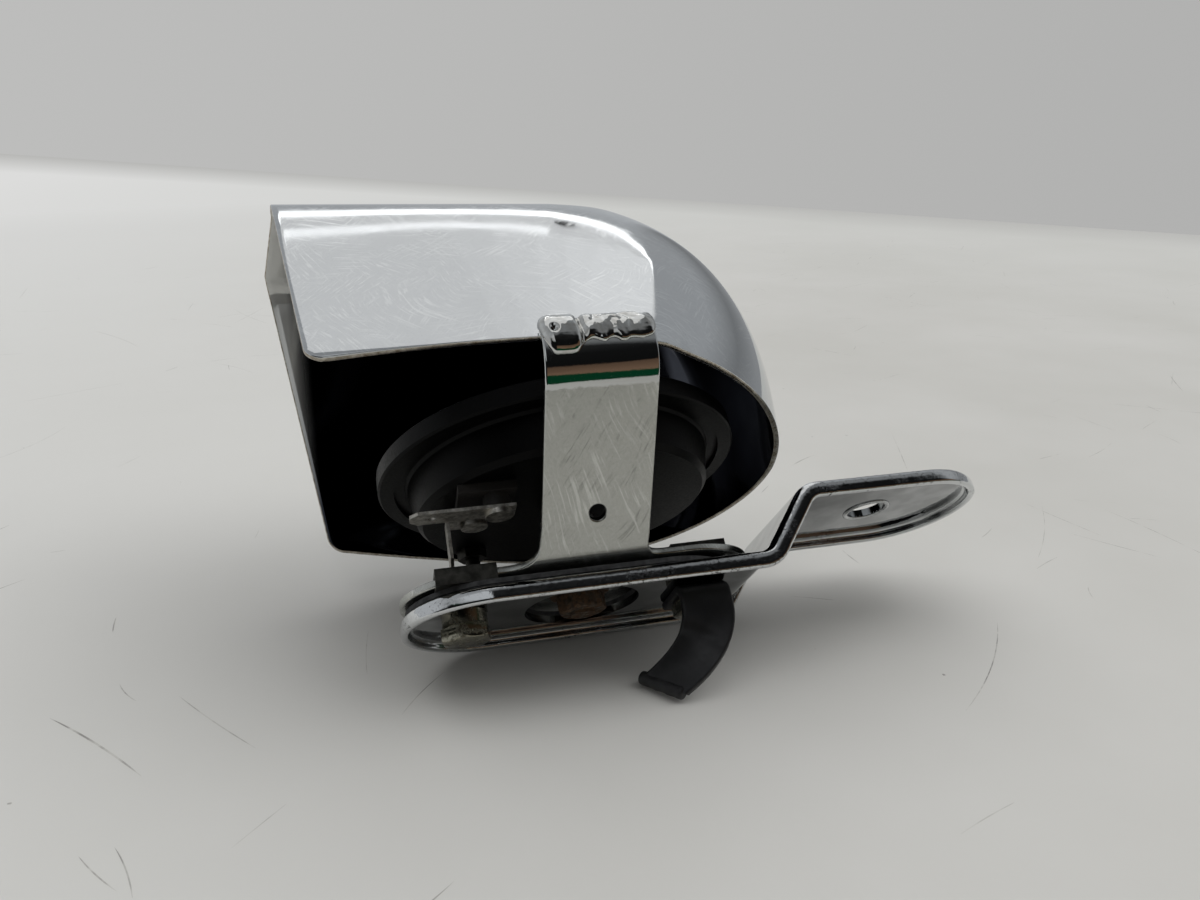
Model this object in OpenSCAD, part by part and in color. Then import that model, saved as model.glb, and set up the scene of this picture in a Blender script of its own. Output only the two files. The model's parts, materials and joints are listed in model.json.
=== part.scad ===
// Disc horn under a chromed cover, on a joggled flanged bracket, lying as it rests on a table.
// The pieces are drawn about the horn's axis, front towards +Z and dome towards +X, and then
// laid down so that the cover's rim and the bracket's lip both touch the table at Z = 0.

/* [Cover] */
// Clear space between the horn's ring and the cover's rim, at the side walls
rim_room = 7.6; // [7.2:0.1:8.4]
// Half width of the rim at the open mouth
mouth_half = 44.7; // [43:0.1:48]
// Half width of the narrow front face
front_half = 18; // [16:0.5:20]
// Depth from the rim to the front face
cover_depth = 85.6; // [80:0.2:88]
// From the horn's axis to the mouth, along the rim
mouth_reach = 61; // [58:0.5:66]
// How much further the mouth reaches at the front face
mouth_rake = 16.5; // [12:0.5:22]
// How much further still the far wall reaches there
far_rake = 4.5; // [0:0.5:6]
// How much shallower the cover is at its mouth than at its dome
front_fall = 6; // [4:0.1:7]
// From the horn's axis to where the dome begins
dome_start = 2; // [0:0.1:4]
// Length of the dome along the rim
dome_reach = 59.3; // [56:0.1:62]
// Height above the front face at which the dome's curve would close
dome_close = 1; // [0.6:0.1:4]
// Roundness of the dome seen from the side, 2 is an ellipse
dome_power = 2.3; // [2:0.05:2.6]
// Roundness of the dome seen from above, at the rim
plan_rim = 1.85; // [1.8:0.05:2.1]
// The same at the front face, where it is squarer
plan_front = 4; // [3:0.1:4.4]
// Rounding between the front face and the walls
front_round = 6; // [4:0.5:8]
// Sheet thickness of the cover
cover_wall = 1.3; // [1:0.1:1.8]
// Rounding of the rim's two corners at the mouth
corner_round = 4; // [2:0.5:6]
// Tilt of the cover over the horn, which lifts the strap's side
cover_tip = 8.3; // [7:0.1:9]
// Tilt of the cover along its length, which lifts the mouth
cover_turn = 5.7; // [5:0.1:6.5]
// Offset of the cover away from the strap
cover_shift = 1.5; // [0.5:0.1:2.5]

/* [Cover strap] */
// Width of the strap
strap_w = 25.8; // [23:0.1:28]
// Thickness of the strap and of its foot plate
strap_t = 2; // [1.6:0.1:2.4]
// Centre of the strap at the rim, along the cover
strap_x = 2.9; // [1:0.1:5]
// Centre of the strap where it meets the foot plate
strap_foot_x = 0.6; // [-1:0.1:3]
// Length of the strap's end that is lapped on the cover's wall
strap_lap = 5; // [4:0.5:8]
// Gap between the strap and the cover's wall, which the weld bridges
lap_gap = 0.1; // [0.05:0.05:0.3]
// From the cover's rim down to where the strap starts to bend
rim_drop = 0.4; // [0.3:0.1:1]
// Inner radius of the bend at the rim
strap_bend_r = 5; // [4:0.5:7]
// Inner radius of the bend at the foot
foot_bend_r = 7; // [5:0.5:9]
// From the horn's ring in to the corner of the foot bend
foot_in = 27; // [26.5:0.1:27.5]
// From the corner of the foot bend in to the foot plate's edge
foot_edge = 1; // [0.5:0.1:2]
// Half of the distance between the centres of the foot plate's round ends
foot_reach = 25.5; // [24:0.5:28]
// Diameter of the small hole in the strap
strap_hole_d = 4; // [3:0.2:5]
// From the foot bend's corner to the small hole, along the strap
strap_hole_up = 11.8; // [9:0.1:20]

/* [Weld] */
// Radius of the weld bead along the strap's end
bead_r = 1.7; // [1.3:0.1:2.2]
// Number of ripples in the bead
bead_count = 9; // [7:1:12]

/* [Bracket] */
// Width of the bracket across its lips
bracket_w = 44.5; // [42:0.5:48]
// Sheet thickness of the bracket
bracket_t = 2; // [1.6:0.1:2.4]
// Depth of the lip, measured with the sheet
lip_depth = 4.6; // [4:0.1:6]
// From the horn's axis to the centre of the bracket's plain round end
plain_end = 22.7; // [20:0.5:26]
// From the horn's axis to the mounting hole
hole_reach = 84.4; // [80:0.2:92]
// From the mounting hole to the centre of the bracket's round end
end_past = 8; // [4:0.5:10]
// Diameter of the mounting hole
mount_hole_d = 10.4; // [8:0.1:12]
// Width of the raised edge round the mounting hole
hole_edge_w = 1.4; // [1:0.1:2]
// Height of that raised edge
hole_edge_h = 0.5; // [0.3:0.1:0.9]
// Height of the joggle
joggle_h = 16.5; // [14:0.1:19]
// Clearance between the foot plate's tip and the joggle
joggle_gap = 0.6; // [0.4:0.1:1.5]
// Length of the joggle along the bracket
joggle_run = 13.5; // [12:0.5:17]
// Inner bend radius of the joggle
joggle_r = 4; // [3:0.5:5]
// Diameter of the clearance hole round the horn's nut
window_d = 29; // [24:0.5:32]

/* [Stack under the foot plate] */
// From the horn's flange to the upper face of the foot plate
foot_drop = 32.2; // [32:0.1:34]
// Thickness of the rubber pad
pad_t = 1.2; // [1:0.1:2]
// Edge of the pad inside the bracket's outline
pad_inset = 1.6; // [1:0.1:3]
// Centre of the pad's second round end
pad_reach = 18; // [14:0.5:19]
// Leaf thickness of the spring nut
leaf_t = 1; // [0.8:0.1:1.3]

/* [Bolts] */
// From the horn's axis to each bolt
bolt_x = 29.4; // [28:0.2:31]
// Shank diameter of the bolts
bolt_d = 6.2; // [5:0.1:6.4]
// Clearance round a bolt, on the radius
bolt_gap = 0.3; // [0.2:0.1:0.5]
// Size of the bolt heads across their flats
bolt_af = 11.1; // [10:0.1:12]
// Height of the bolt heads
bolt_head_h = 3.9; // [3.2:0.1:5]
// Thickness of the lock washer
lock_t = 1.6; // [1.2:0.1:1.8]
// Width of a spring nut
nut_w = 14.2; // [13:0.2:16]
// Length of the spring nut's leaves behind the bolt
nut_tail = 9; // [8:0.5:11]
// Height of the spring nut's threaded barrel
barrel_h = 3; // [2.4:0.1:3.6]
// Thickness of the block nut
block_t = 3; // [2.5:0.1:4]
// Half length of the block nut
block_half = 12; // [9:0.5:13]

/* [Horn] */
// Diameter of the horn over its clamp ring
horn_d = 94; // [90:0.5:96]
// Width of the flange outside the cup, inside the clamp ring
flange_w = 6.4; // [5:0.1:7]
// How much the cup's wall draws in to its back, on the radius
cup_draft = 1.5; // [0.8:0.1:2]
// From the flange to the back of the cup
cup_drop = 12.6; // [12:0.1:14]
// Sheet thickness of the cup
cup_t = 1.4; // [1:0.1:1.6]
// Sheet thickness of the cup's flange
flange_t = 1.6; // [1.2:0.1:2]
// Sheet thickness of the clamp ring
ring_t = 1; // [0.8:0.1:1.2]
// How far the clamp ring folds in over the flange
ring_fold = 3; // [2:0.5:4]
// Thickness of the diaphragm
diaphragm_t = 0.4; // [0.3:0.05:0.6]
// Thickness of each gasket
gasket_t = 0.5; // [0.4:0.05:0.7]
// Diameter of the tone disc
tone_d = 60; // [50:1:70]
// Width of the tone disc's dished rim
tone_rim = 3; // [2:0.5:5]
// Height of that rim
tone_cup = 1.2; // [0.8:0.1:2]
// Diameter of the spacer between the diaphragm and the tone disc
centre_spacer_d = 13; // [11:0.5:16]
// Size of the tone disc's nut across its flats
tone_nut_af = 10; // [9:0.5:13]
// Thickness of the tone disc
tone_t = 1; // [0.8:0.1:1.4]
// Clear height from the diaphragm to the tone disc
tone_lift = 5; // [4:0.5:8]
// Diameter of the armature's stem
stem_d = 6; // [5:0.1:7]

/* [Magnet] */
// Diameter of the pole
pole_d = 14; // [12:0.5:16]
// Air gap that is left between the pole and the armature at full travel
rest_gap = 0.3; // [0.2:0.05:0.5]
// Diameter of the armature
armature_d = 22; // [20:0.5:24]
// Thickness of the armature
armature_t = 2.5; // [2.2:0.1:2.8]
// Clearance between the coil bobbin and the contact points
coil_gap = 2; // [1.5:0.1:3]
// Wall of the bobbin
bobbin_wall = 0.9; // [0.7:0.1:1.1]

/* [Contact breaker] */
// Direction of the breaker round the horn's axis
breaker_angle = 135; // [125:1:145]
// Travel of the diaphragm and its armature
stroke = 0.5; // [0.3:0.05:0.5]
// From the cup's back edge in to the breaker arm's pin
pivot_in = 11.1; // [10.5:0.1:11.8]
// From the horn's axis to the arm's inner end
arm_inner = 8.5; // [8:0.1:9.5]
// Width of the breaker arm
arm_w = 6; // [5:0.1:7]
// Thickness of the breaker arm
arm_t = 0.5; // [0.4:0.05:0.6]
// Height of the push pad between the arm and the armature
pad_h = 0.5; // [0.4:0.05:0.7]
// Diameter of the arm's pin
pin_d = 1.6; // [1.4:0.05:1.8]
// Running clearance on the pin, on the radius
pin_gap = 0.05; // [0.02:0.01:0.08]
// Diameter of the contact points
point_d = 3; // [2.4:0.1:3.4]
// From the arm's pin to the contact points
point_l = 6.5; // [6:0.1:7]
// Diameter of the adjusting screw
adjuster_d = 4; // [3.5:0.1:4.5]
// From the arm's pin to the adjusting screw
tail_l = 5.6; // [5.2:0.1:6]
// Clearance between the adjusting screw's tip and the arm's tail
screw_gap = 0.08; // [0.05:0.01:0.15]
// Size of the lock nut across its flats
locknut_af = 7; // [6.5:0.1:7.5]
// Height of the lock nut
locknut_h = 2.6; // [2:0.1:3]

/* [Terminals] */
// From the cup's back edge in to the flat terminal's rivet
flat_in = 10.8; // [10:0.1:11.5]
// From the cup's back edge in to the bent terminal's rivet
bent_in = 13.1; // [12.5:0.1:14]
// Direction of the flat terminal's rivet round the horn's axis
flat_angle = 223.5; // [221:0.5:226]
// Direction of the bent terminal's rivet round the horn's axis
bent_angle = 191.5; // [189:0.5:193]
// Edge of the fibre plate outside the rivets' centres
fibre_edge = 4.6; // [4.2:0.1:5]
// Thickness of the fibre plate under the terminals
fibre_t = 2; // [1.5:0.1:2.5]
// Width of a spade blade
blade_w = 6.3; // [5.8:0.1:6.6]
// Thickness of a spade blade
blade_t = 0.8; // [0.7:0.05:1]
// Length of the flat spade terminal from its rivet to its tip
blade_l = 20.8; // [18:0.2:22]
// Length of the bent spade terminal's blade
bent_l = 12; // [9:0.5:14]
// Height of the bush that lifts the flat terminal
bush_h = 3.2; // [2.5:0.1:4]
// Diameter of the rivets' stems
rivet_d = 3.2; // [2.6:0.1:3.4]
// Diameter of the rivets' heads
rivet_head_d = 6.8; // [6:0.1:7]

/* [Mounting stud] */
// Diameter of the horn's stud
stud_d = 6.35; // [5.5:0.05:6.6]
// Size of the stud's hexagons across the flats
stud_af = 11.1; // [10:0.1:12]
// Height of the stud's collar
collar_h = 3; // [2.5:0.1:4]
// Outer diameter of the spacer tube
spacer_d = 14; // [12:0.5:16]
// Thickness of the stud's washer
washer_t = 1.2; // [1:0.1:1.4]
// Diameter of the stud's washer
washer_d = 15; // [13:0.5:17]
// Height of the stud's nut
stud_nut_h = 4.8; // [4:0.1:6]

/* [Wire clip] */
// Width of the clip's strap
clip_w = 13.3; // [12:0.1:14.5]
// How far the clip's foot lies below the bracket's web
clip_drop = 22; // [20:0.5:22]
// Thickness of the coated strap
clip_t = 2.2; // [1.8:0.1:2.4]

/* [Hidden] */
$fn = 64;
// Clearance that keeps stacked faces apart where they only rest on each other
seat = 0.02;
// Steps round each bend of a folded sheet
bend_steps = 8;

// Radii of the cup, the cover's rim and the foot plate, from the ring's size
cup_front_r = horn_d / 2 - ring_t - flange_w;
cup_back_r = cup_front_r - cup_draft;
rim_half = horn_d / 2 + rim_room;
foot_corner = horn_d / 2 - foot_in;
foot_half = foot_corner - foot_edge;

// Levels of the stack, from the flange down
plate_top = -foot_drop;
plate_low = plate_top - strap_t;
pad_top = plate_low - leaf_t;
web_top = pad_top - pad_t;
web_low = web_top - bracket_t;
lip_low = web_top - lip_depth;
end_top = web_top + joggle_h;
bracket_r = bracket_w / 2;
end_x = hole_reach + end_past;
bolt_hole_r = bolt_d / 2 + bolt_gap;
joggle_slope = atan(joggle_h / joggle_run);
joggle_x = foot_reach + foot_half
    - ((plate_low - web_top) * cos(joggle_slope) - joggle_gap) / sin(joggle_slope);

// The cover's outline at height z, t tells how far along it from the near mouth to the far one
wall_slope = atan((rim_half - front_half) / cover_depth);
side_steps = 6;
dome_steps = 32;
outline_steps = 2 * side_steps + dome_steps;
function inset(z, r) = z > cover_depth - front_round ?
    r - sqrt(max(0, r * r - pow((z - cover_depth + front_round) * r / front_round, 2))) : 0;
function half_at(z) = rim_half - (rim_half - front_half) * z / cover_depth;
function mouth_at(z, side) = mouth_reach + (mouth_rake + (side > 0 ? far_rake : 0)) * z / cover_depth
    - (z < corner_round ? corner_round - sqrt(corner_round * corner_round - pow(corner_round - z, 2)) : 0);
function reach_at(z) = dome_reach * pow(1 - pow(z / (cover_depth + dome_close), dome_power), 1 / dome_power);
function plan_at(z) = plan_rim + (plan_front - plan_rim) * z / cover_depth;
function rounder(v, z) = sign(v) * pow(abs(v), 2 / plan_at(z));
function bulge_at(z, s) = (rim_half - mouth_half) * (1 - z / cover_depth) * pow(s, 1.5);
function outline_point(z, i, wall, r) =
    let (half = half_at(z) - wall - inset(z, r), reach = reach_at(z) - wall - inset(z, r))
    i < side_steps || i > side_steps + dome_steps ?
        let (s = i < side_steps ? 1 - i / side_steps : (i - side_steps - dome_steps) / side_steps,
            side = i < side_steps ? -1 : 1)
        [dome_start - (dome_start + mouth_at(z, side)) * s, side * (half - bulge_at(z, s)), -front_fall * s]
    : let (a = -90 + 180 * (i - side_steps) / dome_steps)
        [dome_start + reach * rounder(cos(a), z), half * rounder(sin(a), z), 0];
wall_levels = concat([for (k = [0 : 3]) corner_round * (1 - cos(30 * k))],
    [for (k = [1 : 9]) corner_round + (cover_depth - front_round - corner_round) * k / 9]);
round_levels = [for (k = [1 : 6]) cover_depth - front_round * (1 - sin(15 * k))];
levels = concat(wall_levels, round_levels);
function skin(wall) = let (r = front_round - wall)
    [for (z = levels) for (i = [0 : outline_steps])
        let (p = outline_point(z, i, wall / cos(wall_slope), r))
        [p.x, p.y, p.z * z / cover_depth + (z > cover_depth - front_round ? cover_depth - front_round
            + (z - cover_depth + front_round) * r / front_round : z)]];

// Places and turns of the cover over the horn
function tip(p) = [p.x, p.y * cos(cover_tip) + p.z * sin(cover_tip),
    p.z * cos(cover_tip) - p.y * sin(cover_tip)];
function turn(p) = [p.x * cos(cover_turn) + p.z * sin(cover_turn), p.y,
    p.z * cos(cover_turn) - p.x * sin(cover_turn)];
function over_horn(p) = turn(tip(p)) + [0, cover_shift, 0];

// The table touches the bracket's far lip and the lowest point of the cover's rim
rim_points = [for (i = [0 : outline_steps])
    let (p = outline_point(0, i, 0, front_round)) over_horn([p.x, p.y, 0])];
far_rim = [for (p = rim_points) if (p.y > bracket_r + 1) p];
lean = min([for (p = far_rim) atan2(p.z - lip_low, p.y - bracket_r)]);
lift = bracket_r * sin(lean) - lip_low * cos(lean);
// Distance across the table of a point that leans with the object
function across(p) = p.y * cos(lean) + p.z * sin(lean);

// Wire clip: a coated strap, flat under the bolt's head, bent down and curled at its foot.
// Each station is its centre and how far its width has twisted. The curve gives them in
// shares of the clip's drop.
clip_mid = web_low - clip_t / 2 - seat;
clip_bend_y = -bolt_af / 2 - 0.7;
clip_bolt = [bolt_x, clip_bend_y, clip_mid];
clip_curve = [[0, -0.077, -0.045, 0], [0, -0.109, -0.145, 0], [-0.023, -0.109, -0.364, 0.12],
    [-0.109, -0.082, -0.573, 0.32], [-0.255, -0.023, -0.755, 0.6], [-0.432, 0.077, -0.9, 0.85],
    [-0.6, 0.2, -1, 1]];
clip_stations = concat([[clip_bolt - [0, clip_bend_y - 7.5, 0], 0], [clip_bolt, 0]],
    [for (c = clip_curve) [clip_bolt + clip_drop * [c[0], c[1], c[2]], c[3]]]);
clip_width_start = [1, 0, 0];
clip_width_end = [0.6, -0.58, -0.54];
clip_foot = 1.25;
clip_last = len(clip_stations) - 1;
function clip_way(i) = let (p = clip_stations)
    unit(p[min(i + 1, clip_last)][0] - p[max(i - 1, 0)][0]);
function clip_across(i) = let (s = clip_stations[i][1])
    unit(clip_width_start * (1 - s) + clip_width_end * s);
function clip_corners(i) = let (w = clip_across(i) * clip_w / 2,
    n = unit(cross(clip_way(i), clip_across(i))),
    thick = clip_t / 2 * (i == clip_last ? clip_foot : 1), p = clip_stations[i][0])
    [p - w - n * thick, p + w - n * thick, p + w + n * thick, p - w + n * thick];

// Centre of the laid down object's outer box, from the mouth's front corner to the mounting end,
// and from the clip's foot to the cover's front
cover_skin = [for (p = skin(0)) over_horn(p)];
centre_x = -(min([for (p = cover_skin) p.x]) + end_x + bracket_r) / 2;
centre_y = -(min([for (i = [0 : clip_last]) for (p = clip_corners(i)) across(p)])
    + max([for (p = cover_skin) across(p)])) / 2;

module on_table() {
    translate([centre_x, centre_y, lift])
        rotate([-lean, 0, 0])
            children();
}

// A bent path through corner points, each corner rounded to its own radius
function unit(v) = v / norm(v);
function cross_z(a, b) = a.x * b.y - a.y * b.x;
function swing(v, a) = [v.x * cos(a) - v.y * sin(a), v.x * sin(a) + v.y * cos(a)];
function bend(a, p, b, r) =
    let (u = unit(a - p), v = unit(b - p), half = acos(u * v) / 2,
        centre = p + unit(u + v) * r / sin(half), start = p + u * r / tan(half) - centre,
        side = cross_z(p - a, b - p) > 0 ? 1 : -1)
    [for (k = [0 : bend_steps]) centre + swing(start, side * (180 - 2 * half) * k / bend_steps)];
function bent_path(p, radii) = concat([p[0]],
    [for (i = [1 : len(p) - 2]) each bend(p[i - 1], p[i], p[i + 1], radii[i - 1])], [p[len(p) - 1]]);
// The same path moved sideways, to the right of its direction
function path_side(p, d) = [for (i = [0 : len(p) - 1])
    let (a = i == 0 ? p[1] - p[0] : unit(p[i] - p[i - 1]),
        b = i == len(p) - 1 ? p[i] - p[i - 1] : unit(p[i + 1] - p[i]),
        t = unit(unit(a) + unit(b)))
    p[i] + [t.y, -t.x] * d / (t * unit(a))];
function band(path, from, to) = concat(path_side(path, from),
    [for (k = [len(path) - 1 : -1 : 0]) path_side(path, to)[k]]);

// Extrudes a Y-Z outline along X
module along_x(from, to) {
    translate([from, 0, 0])
        rotate([90, 0, 90])
            linear_extrude(to - from)
                children();
}

// Extrudes an X-Z outline along Y, evenly to both sides
module along_y(half) {
    translate([0, half, 0])
        rotate([90, 0, 0])
            linear_extrude(2 * half)
                children();
}

// A flat bar with two round ends
module stadium(x1, x2, r) {
    translate([x1, 0])
        circle(r, $fn = 96);
    translate([x2, 0])
        circle(r, $fn = 96);
    translate([x1, -r])
        square([x2 - x1, 2 * r]);
}

// A slab between two levels
module slab(low, high) {
    translate([0, 0, low])
        linear_extrude(high - low)
            children();
}

module rod(x, y, low, high, r) {
    translate([x, y, low])
        cylinder(h = high - low, r = r);
}

module hexagon(x, y, low, high, af) {
    translate([x, y, low])
        cylinder(h = high - low, r = af / 2 / cos(30), $fn = 6);
}

// A turned ring from an outline of radius and height
module turned(outline) {
    rotate_extrude($fn = 128)
        polygon(outline);
}

module ring(r1, r2, low, high) {
    turned([[r1, low], [r2, low], [r2, high], [r1, high]]);
}

// Cover
module cover_shell() {
    cols = outline_steps + 1;
    rows = len(levels);
    outer = skin(0);
    inner = skin(cover_wall);
    size = len(outer);
    top = (rows - 1) * cols;
    quads = concat(
        [for (k = [0 : rows - 2]) for (i = [0 : cols - 2])
            [k * cols + i, (k + 1) * cols + i, (k + 1) * cols + i + 1, k * cols + i + 1]],
        [for (k = [0 : rows - 2]) for (i = [0 : cols - 2])
            [size + k * cols + i, size + k * cols + i + 1, size + (k + 1) * cols + i + 1,
                size + (k + 1) * cols + i]],
        [for (i = [0 : cols - 2]) [i, i + 1, size + i + 1, size + i]],
        [for (k = [0 : rows - 2])
            [k * cols, size + k * cols, size + (k + 1) * cols, (k + 1) * cols]],
        [for (k = [0 : rows - 2]) [k * cols + cols - 1, (k + 1) * cols + cols - 1,
            size + (k + 1) * cols + cols - 1, size + k * cols + cols - 1]],
        [for (i = [0 : cols / 2 - 2])
            [top + i, top + cols - 1 - i, top + cols - 2 - i, top + i + 1]],
        [for (i = [0 : cols / 2 - 2]) [size + top + i, size + top + i + 1,
            size + top + cols - 2 - i, size + top + cols - 1 - i]],
        [[top, size + top, size + top + cols - 1, top + cols - 1]]);
    faces = [for (q = quads) each [[q[0], q[1], q[2]], [q[0], q[2], q[3]]]];
    tip_faces = let (m = floor(cols / 2))
        [[top + m - 1, top + m + 1, top + m], [size + top + m - 1, size + top + m, size + top + m + 1]];
    color("#c9cdd1")
        on_table()
            translate([0, cover_shift, 0])
                rotate([-cover_tip, cover_turn, 0])
                    polyhedron(concat(outer, inner), concat(faces, cols % 2 == 1 ? tip_faces : []));
}

// Strap: lapped on the near wall, bent round the rim, and bent again into the foot plate
rim_near = let (p = over_horn([strap_x, -rim_half, 0])) [p.y, p.z];
wall_angle = wall_slope + cover_tip;
wall_way = [sin(wall_angle), cos(wall_angle)];
wall_out = [-cos(wall_angle), sin(wall_angle)];
foot_point = [-foot_corner, plate_top];
strap_angle = atan2(rim_near.y - plate_top, -foot_corner - rim_near.x);
rim_turn = 180 - strap_angle - (90 - wall_angle);
rim_corner = rim_near + wall_out * lap_gap - wall_way * (strap_bend_r * tan(rim_turn / 2) + rim_drop);
lap_end = rim_near + wall_out * lap_gap + wall_way * strap_lap;
strap_path = bent_path([lap_end, rim_corner, foot_point, [foot_half - 1, plate_top]],
    [strap_bend_r, foot_bend_r]);
strap_way = unit(rim_corner - foot_point);
function strap_mid(z) = strap_foot_x + (strap_x - strap_foot_x) * (z - plate_top) / (rim_near.y - plate_top);
hole_point = foot_point + strap_way * strap_hole_up;
hole_tilt = atan2(strap_way.y, -strap_way.x);

module cover_strap() {
    color("#b9bcb8")
        on_table()
            difference() {
                union() {
                    intersection() {
                        along_x(strap_x - strap_w, strap_x + strap_w)
                            polygon(band(strap_path, 0, strap_t));
                        along_y(2 * rim_half)
                            polygon([for (e = [[-1, plate_low - 1], [1, plate_low - 1], [1, cover_depth],
                                [-1, cover_depth]]) [strap_mid(e.y) + e.x * strap_w / 2, e.y]]);
                    }
                    slab(plate_low, plate_top)
                        stadium(-foot_reach, foot_reach, foot_half);
                }
                for (x = [-bolt_x, bolt_x])
                    rod(x, 0, plate_low - 1, plate_top + 1, bolt_hole_r);
                rod(0, 0, plate_low - 1, plate_top + 1, stud_d / 2 + bolt_gap);
                translate([strap_mid(hole_point.y), hole_point.x, hole_point.y])
                    rotate([-hole_tilt, 0, 0])
                        cylinder(h = 4 * strap_t, r = strap_hole_d / 2, center = true);
            }
}

// Weld bead along the strap's end, with a heavier blob at its start
module weld_beads() {
    run = strap_w - 2 * bead_r;
    color("#c4c6c4")
        on_table()
            for (k = [0 : bead_count - 1])
                let (x = strap_mid(lap_end.y) - run / 2 + run * k / (bead_count - 1),
                    r = bead_r * (1 + 0.14 * sin(133 * k)) + (k == 0 ? 0.5 : 0),
                    y = lap_end.x + wall_out.x * 0.5 * strap_t,
                    z = lap_end.y + wall_out.y * 0.5 * strap_t)
                translate([x, y, z])
                    rotate([0, 90, 0])
                        sphere(r, $fn = 24);
}

// Bracket: a joggled strip with a lip folded down all round
bracket_path = bent_path([[-plain_end - bracket_r - 1, web_top], [joggle_x, web_top],
    [joggle_x + joggle_run, end_top], [end_x + bracket_r + 1, end_top]], [joggle_r, joggle_r + lip_depth]);

module mount_bracket() {
    low = lip_low - 2 * bracket_t;
    high = end_top + 2 * bracket_t;
    color("#c2c6c8")
        on_table()
            difference() {
                union() {
                    difference() {
                        intersection() {
                            slab(low, high)
                                stadium(-plain_end, end_x, bracket_r);
                            along_y(bracket_r + 1)
                                polygon(band(bracket_path, 0, lip_depth));
                        }
                        intersection() {
                            slab(low, high)
                                stadium(-plain_end, end_x, bracket_r - bracket_t);
                            along_y(bracket_r + 1)
                                polygon(concat(path_side(bracket_path, bracket_t),
                                    [[end_x + bracket_r + 1, low], [-plain_end - bracket_r - 1, low]]));
                        }
                    }
                    rod(hole_reach, 0, end_top - bracket_t - hole_edge_h, end_top,
                        mount_hole_d / 2 + hole_edge_w);
                }
                rod(hole_reach, 0, low, high, mount_hole_d / 2);
                rod(0, 0, low, high, window_d / 2);
                for (x = [-bolt_x, bolt_x])
                    rod(x, 0, low, high, bolt_hole_r);
            }
}

module bracket_pad() {
    color("#26282a")
        on_table()
            difference() {
                slab(web_top + seat, pad_top)
                    stadium(-plain_end, pad_reach, bracket_r - pad_inset);
                rod(0, 0, web_top - 1, pad_top + 1, window_d / 2);
                for (x = [-bolt_x, bolt_x])
                    rod(x, 0, web_top - 1, pad_top + 1, bolt_hole_r);
            }
}

// Fasteners between the foot plate and the bracket
module hex_bolt(x, seat_z, top) {
    rod(x, 0, seat_z - 1, top, bolt_d / 2);
    hexagon(x, 0, seat_z - bolt_head_h, seat_z, bolt_af);
}

module bracket_bolts() {
    color("#a99f6c")
        on_table() {
            hex_bolt(-bolt_x, web_low - lock_t - 2 * seat, plate_top + leaf_t + barrel_h);
            hex_bolt(bolt_x, web_low - clip_t - 2 * seat, plate_top + block_t + 1);
        }
}

module lock_washer() {
    slit = 0.8;
    color("#8d8462")
        on_table()
            translate([-bolt_x, 0, 0])
                difference() {
                    ring(bolt_hole_r, bolt_af / 2, web_low - lock_t - seat, web_low - seat);
                    rotate([0, 0, 35])
                        translate([0, -slit / 2, web_low - lock_t - 1])
                            cube([bolt_af, slit, lock_t + 2]);
                }
}

module spacer_washer() {
    color("#8a8c8c")
        on_table()
            translate([bolt_x, 0, 0])
                ring(bolt_hole_r, nut_w / 2, pad_top + seat, plate_low - seat);
}

// Folded nut that hooks over the foot plate's near edge
module spring_nut() {
    face = -foot_half - 2 * seat - leaf_t;
    bore_r = bolt_d / 2 + pin_gap;
    color("#4a4c4e")
        on_table()
            difference() {
                union() {
                    along_x(-bolt_x - nut_w / 2, -bolt_x + nut_w / 2)
                        polygon([[face, pad_top + seat], [nut_tail, pad_top + seat],
                            [nut_tail, plate_low - seat], [face + leaf_t, plate_low - seat],
                            [face + leaf_t, plate_top + seat], [nut_tail, plate_top + seat],
                            [nut_tail, plate_top + leaf_t], [face, plate_top + leaf_t]]);
                    rod(-bolt_x, 0, plate_top + leaf_t / 2, plate_top + leaf_t + barrel_h, bolt_d / 2 + 1.8);
                }
                rod(-bolt_x, 0, plate_low - leaf_t - 1, plate_top + leaf_t + barrel_h + 1, bore_r);
            }
}

module block_nut() {
    color("#333436")
        on_table()
            difference() {
                translate([bolt_x - nut_w / 2, -block_half, plate_top + seat])
                    cube([nut_w, 2 * block_half, block_t - seat]);
                rod(bolt_x, 0, plate_top - 1, plate_top + block_t + 1, bolt_d / 2 + pin_gap);
            }
}

// The foot ends in a roll along most of its width
roll_r = 1.7;
roll_end = 0.5;
roll_start = 0.4;
clip_box = clip_corners(clip_last);
roll_from = (clip_box[0] + clip_box[3]) / 2;
roll_to = (clip_box[1] + clip_box[2]) / 2;
roll_way = unit(roll_to - roll_from);
roll_len = norm(roll_to - roll_from) * (1 + roll_end) / 2 + roll_start;

module clip_roll() {
    translate(roll_from - roll_way * roll_start)
        rotate([0, acos(roll_way.z), atan2(roll_way.y, roll_way.x)])
            cylinder(h = roll_len, r = roll_r, $fn = 20);
}

module wire_clip() {
    last = clip_last;
    points = [for (i = [0 : last]) each clip_corners(i)];
    sides = [for (i = [0 : last - 1]) for (k = [0 : 3])
        let (a = 4 * i + k, b = 4 * i + (k + 1) % 4) each [[a, a + 4, b + 4], [a, b + 4, b]]];
    ends = [[0, 1, 2], [0, 2, 3], [4 * last, 4 * last + 2, 4 * last + 1],
        [4 * last, 4 * last + 3, 4 * last + 2]];
    color("#1c1c1e")
        on_table()
            difference() {
                union() {
                    polyhedron(points, concat(sides, ends));
                    clip_roll();
                }
                rod(bolt_x, 0, clip_mid - clip_t, clip_mid + clip_t, bolt_hole_r);
            }
}

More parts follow.
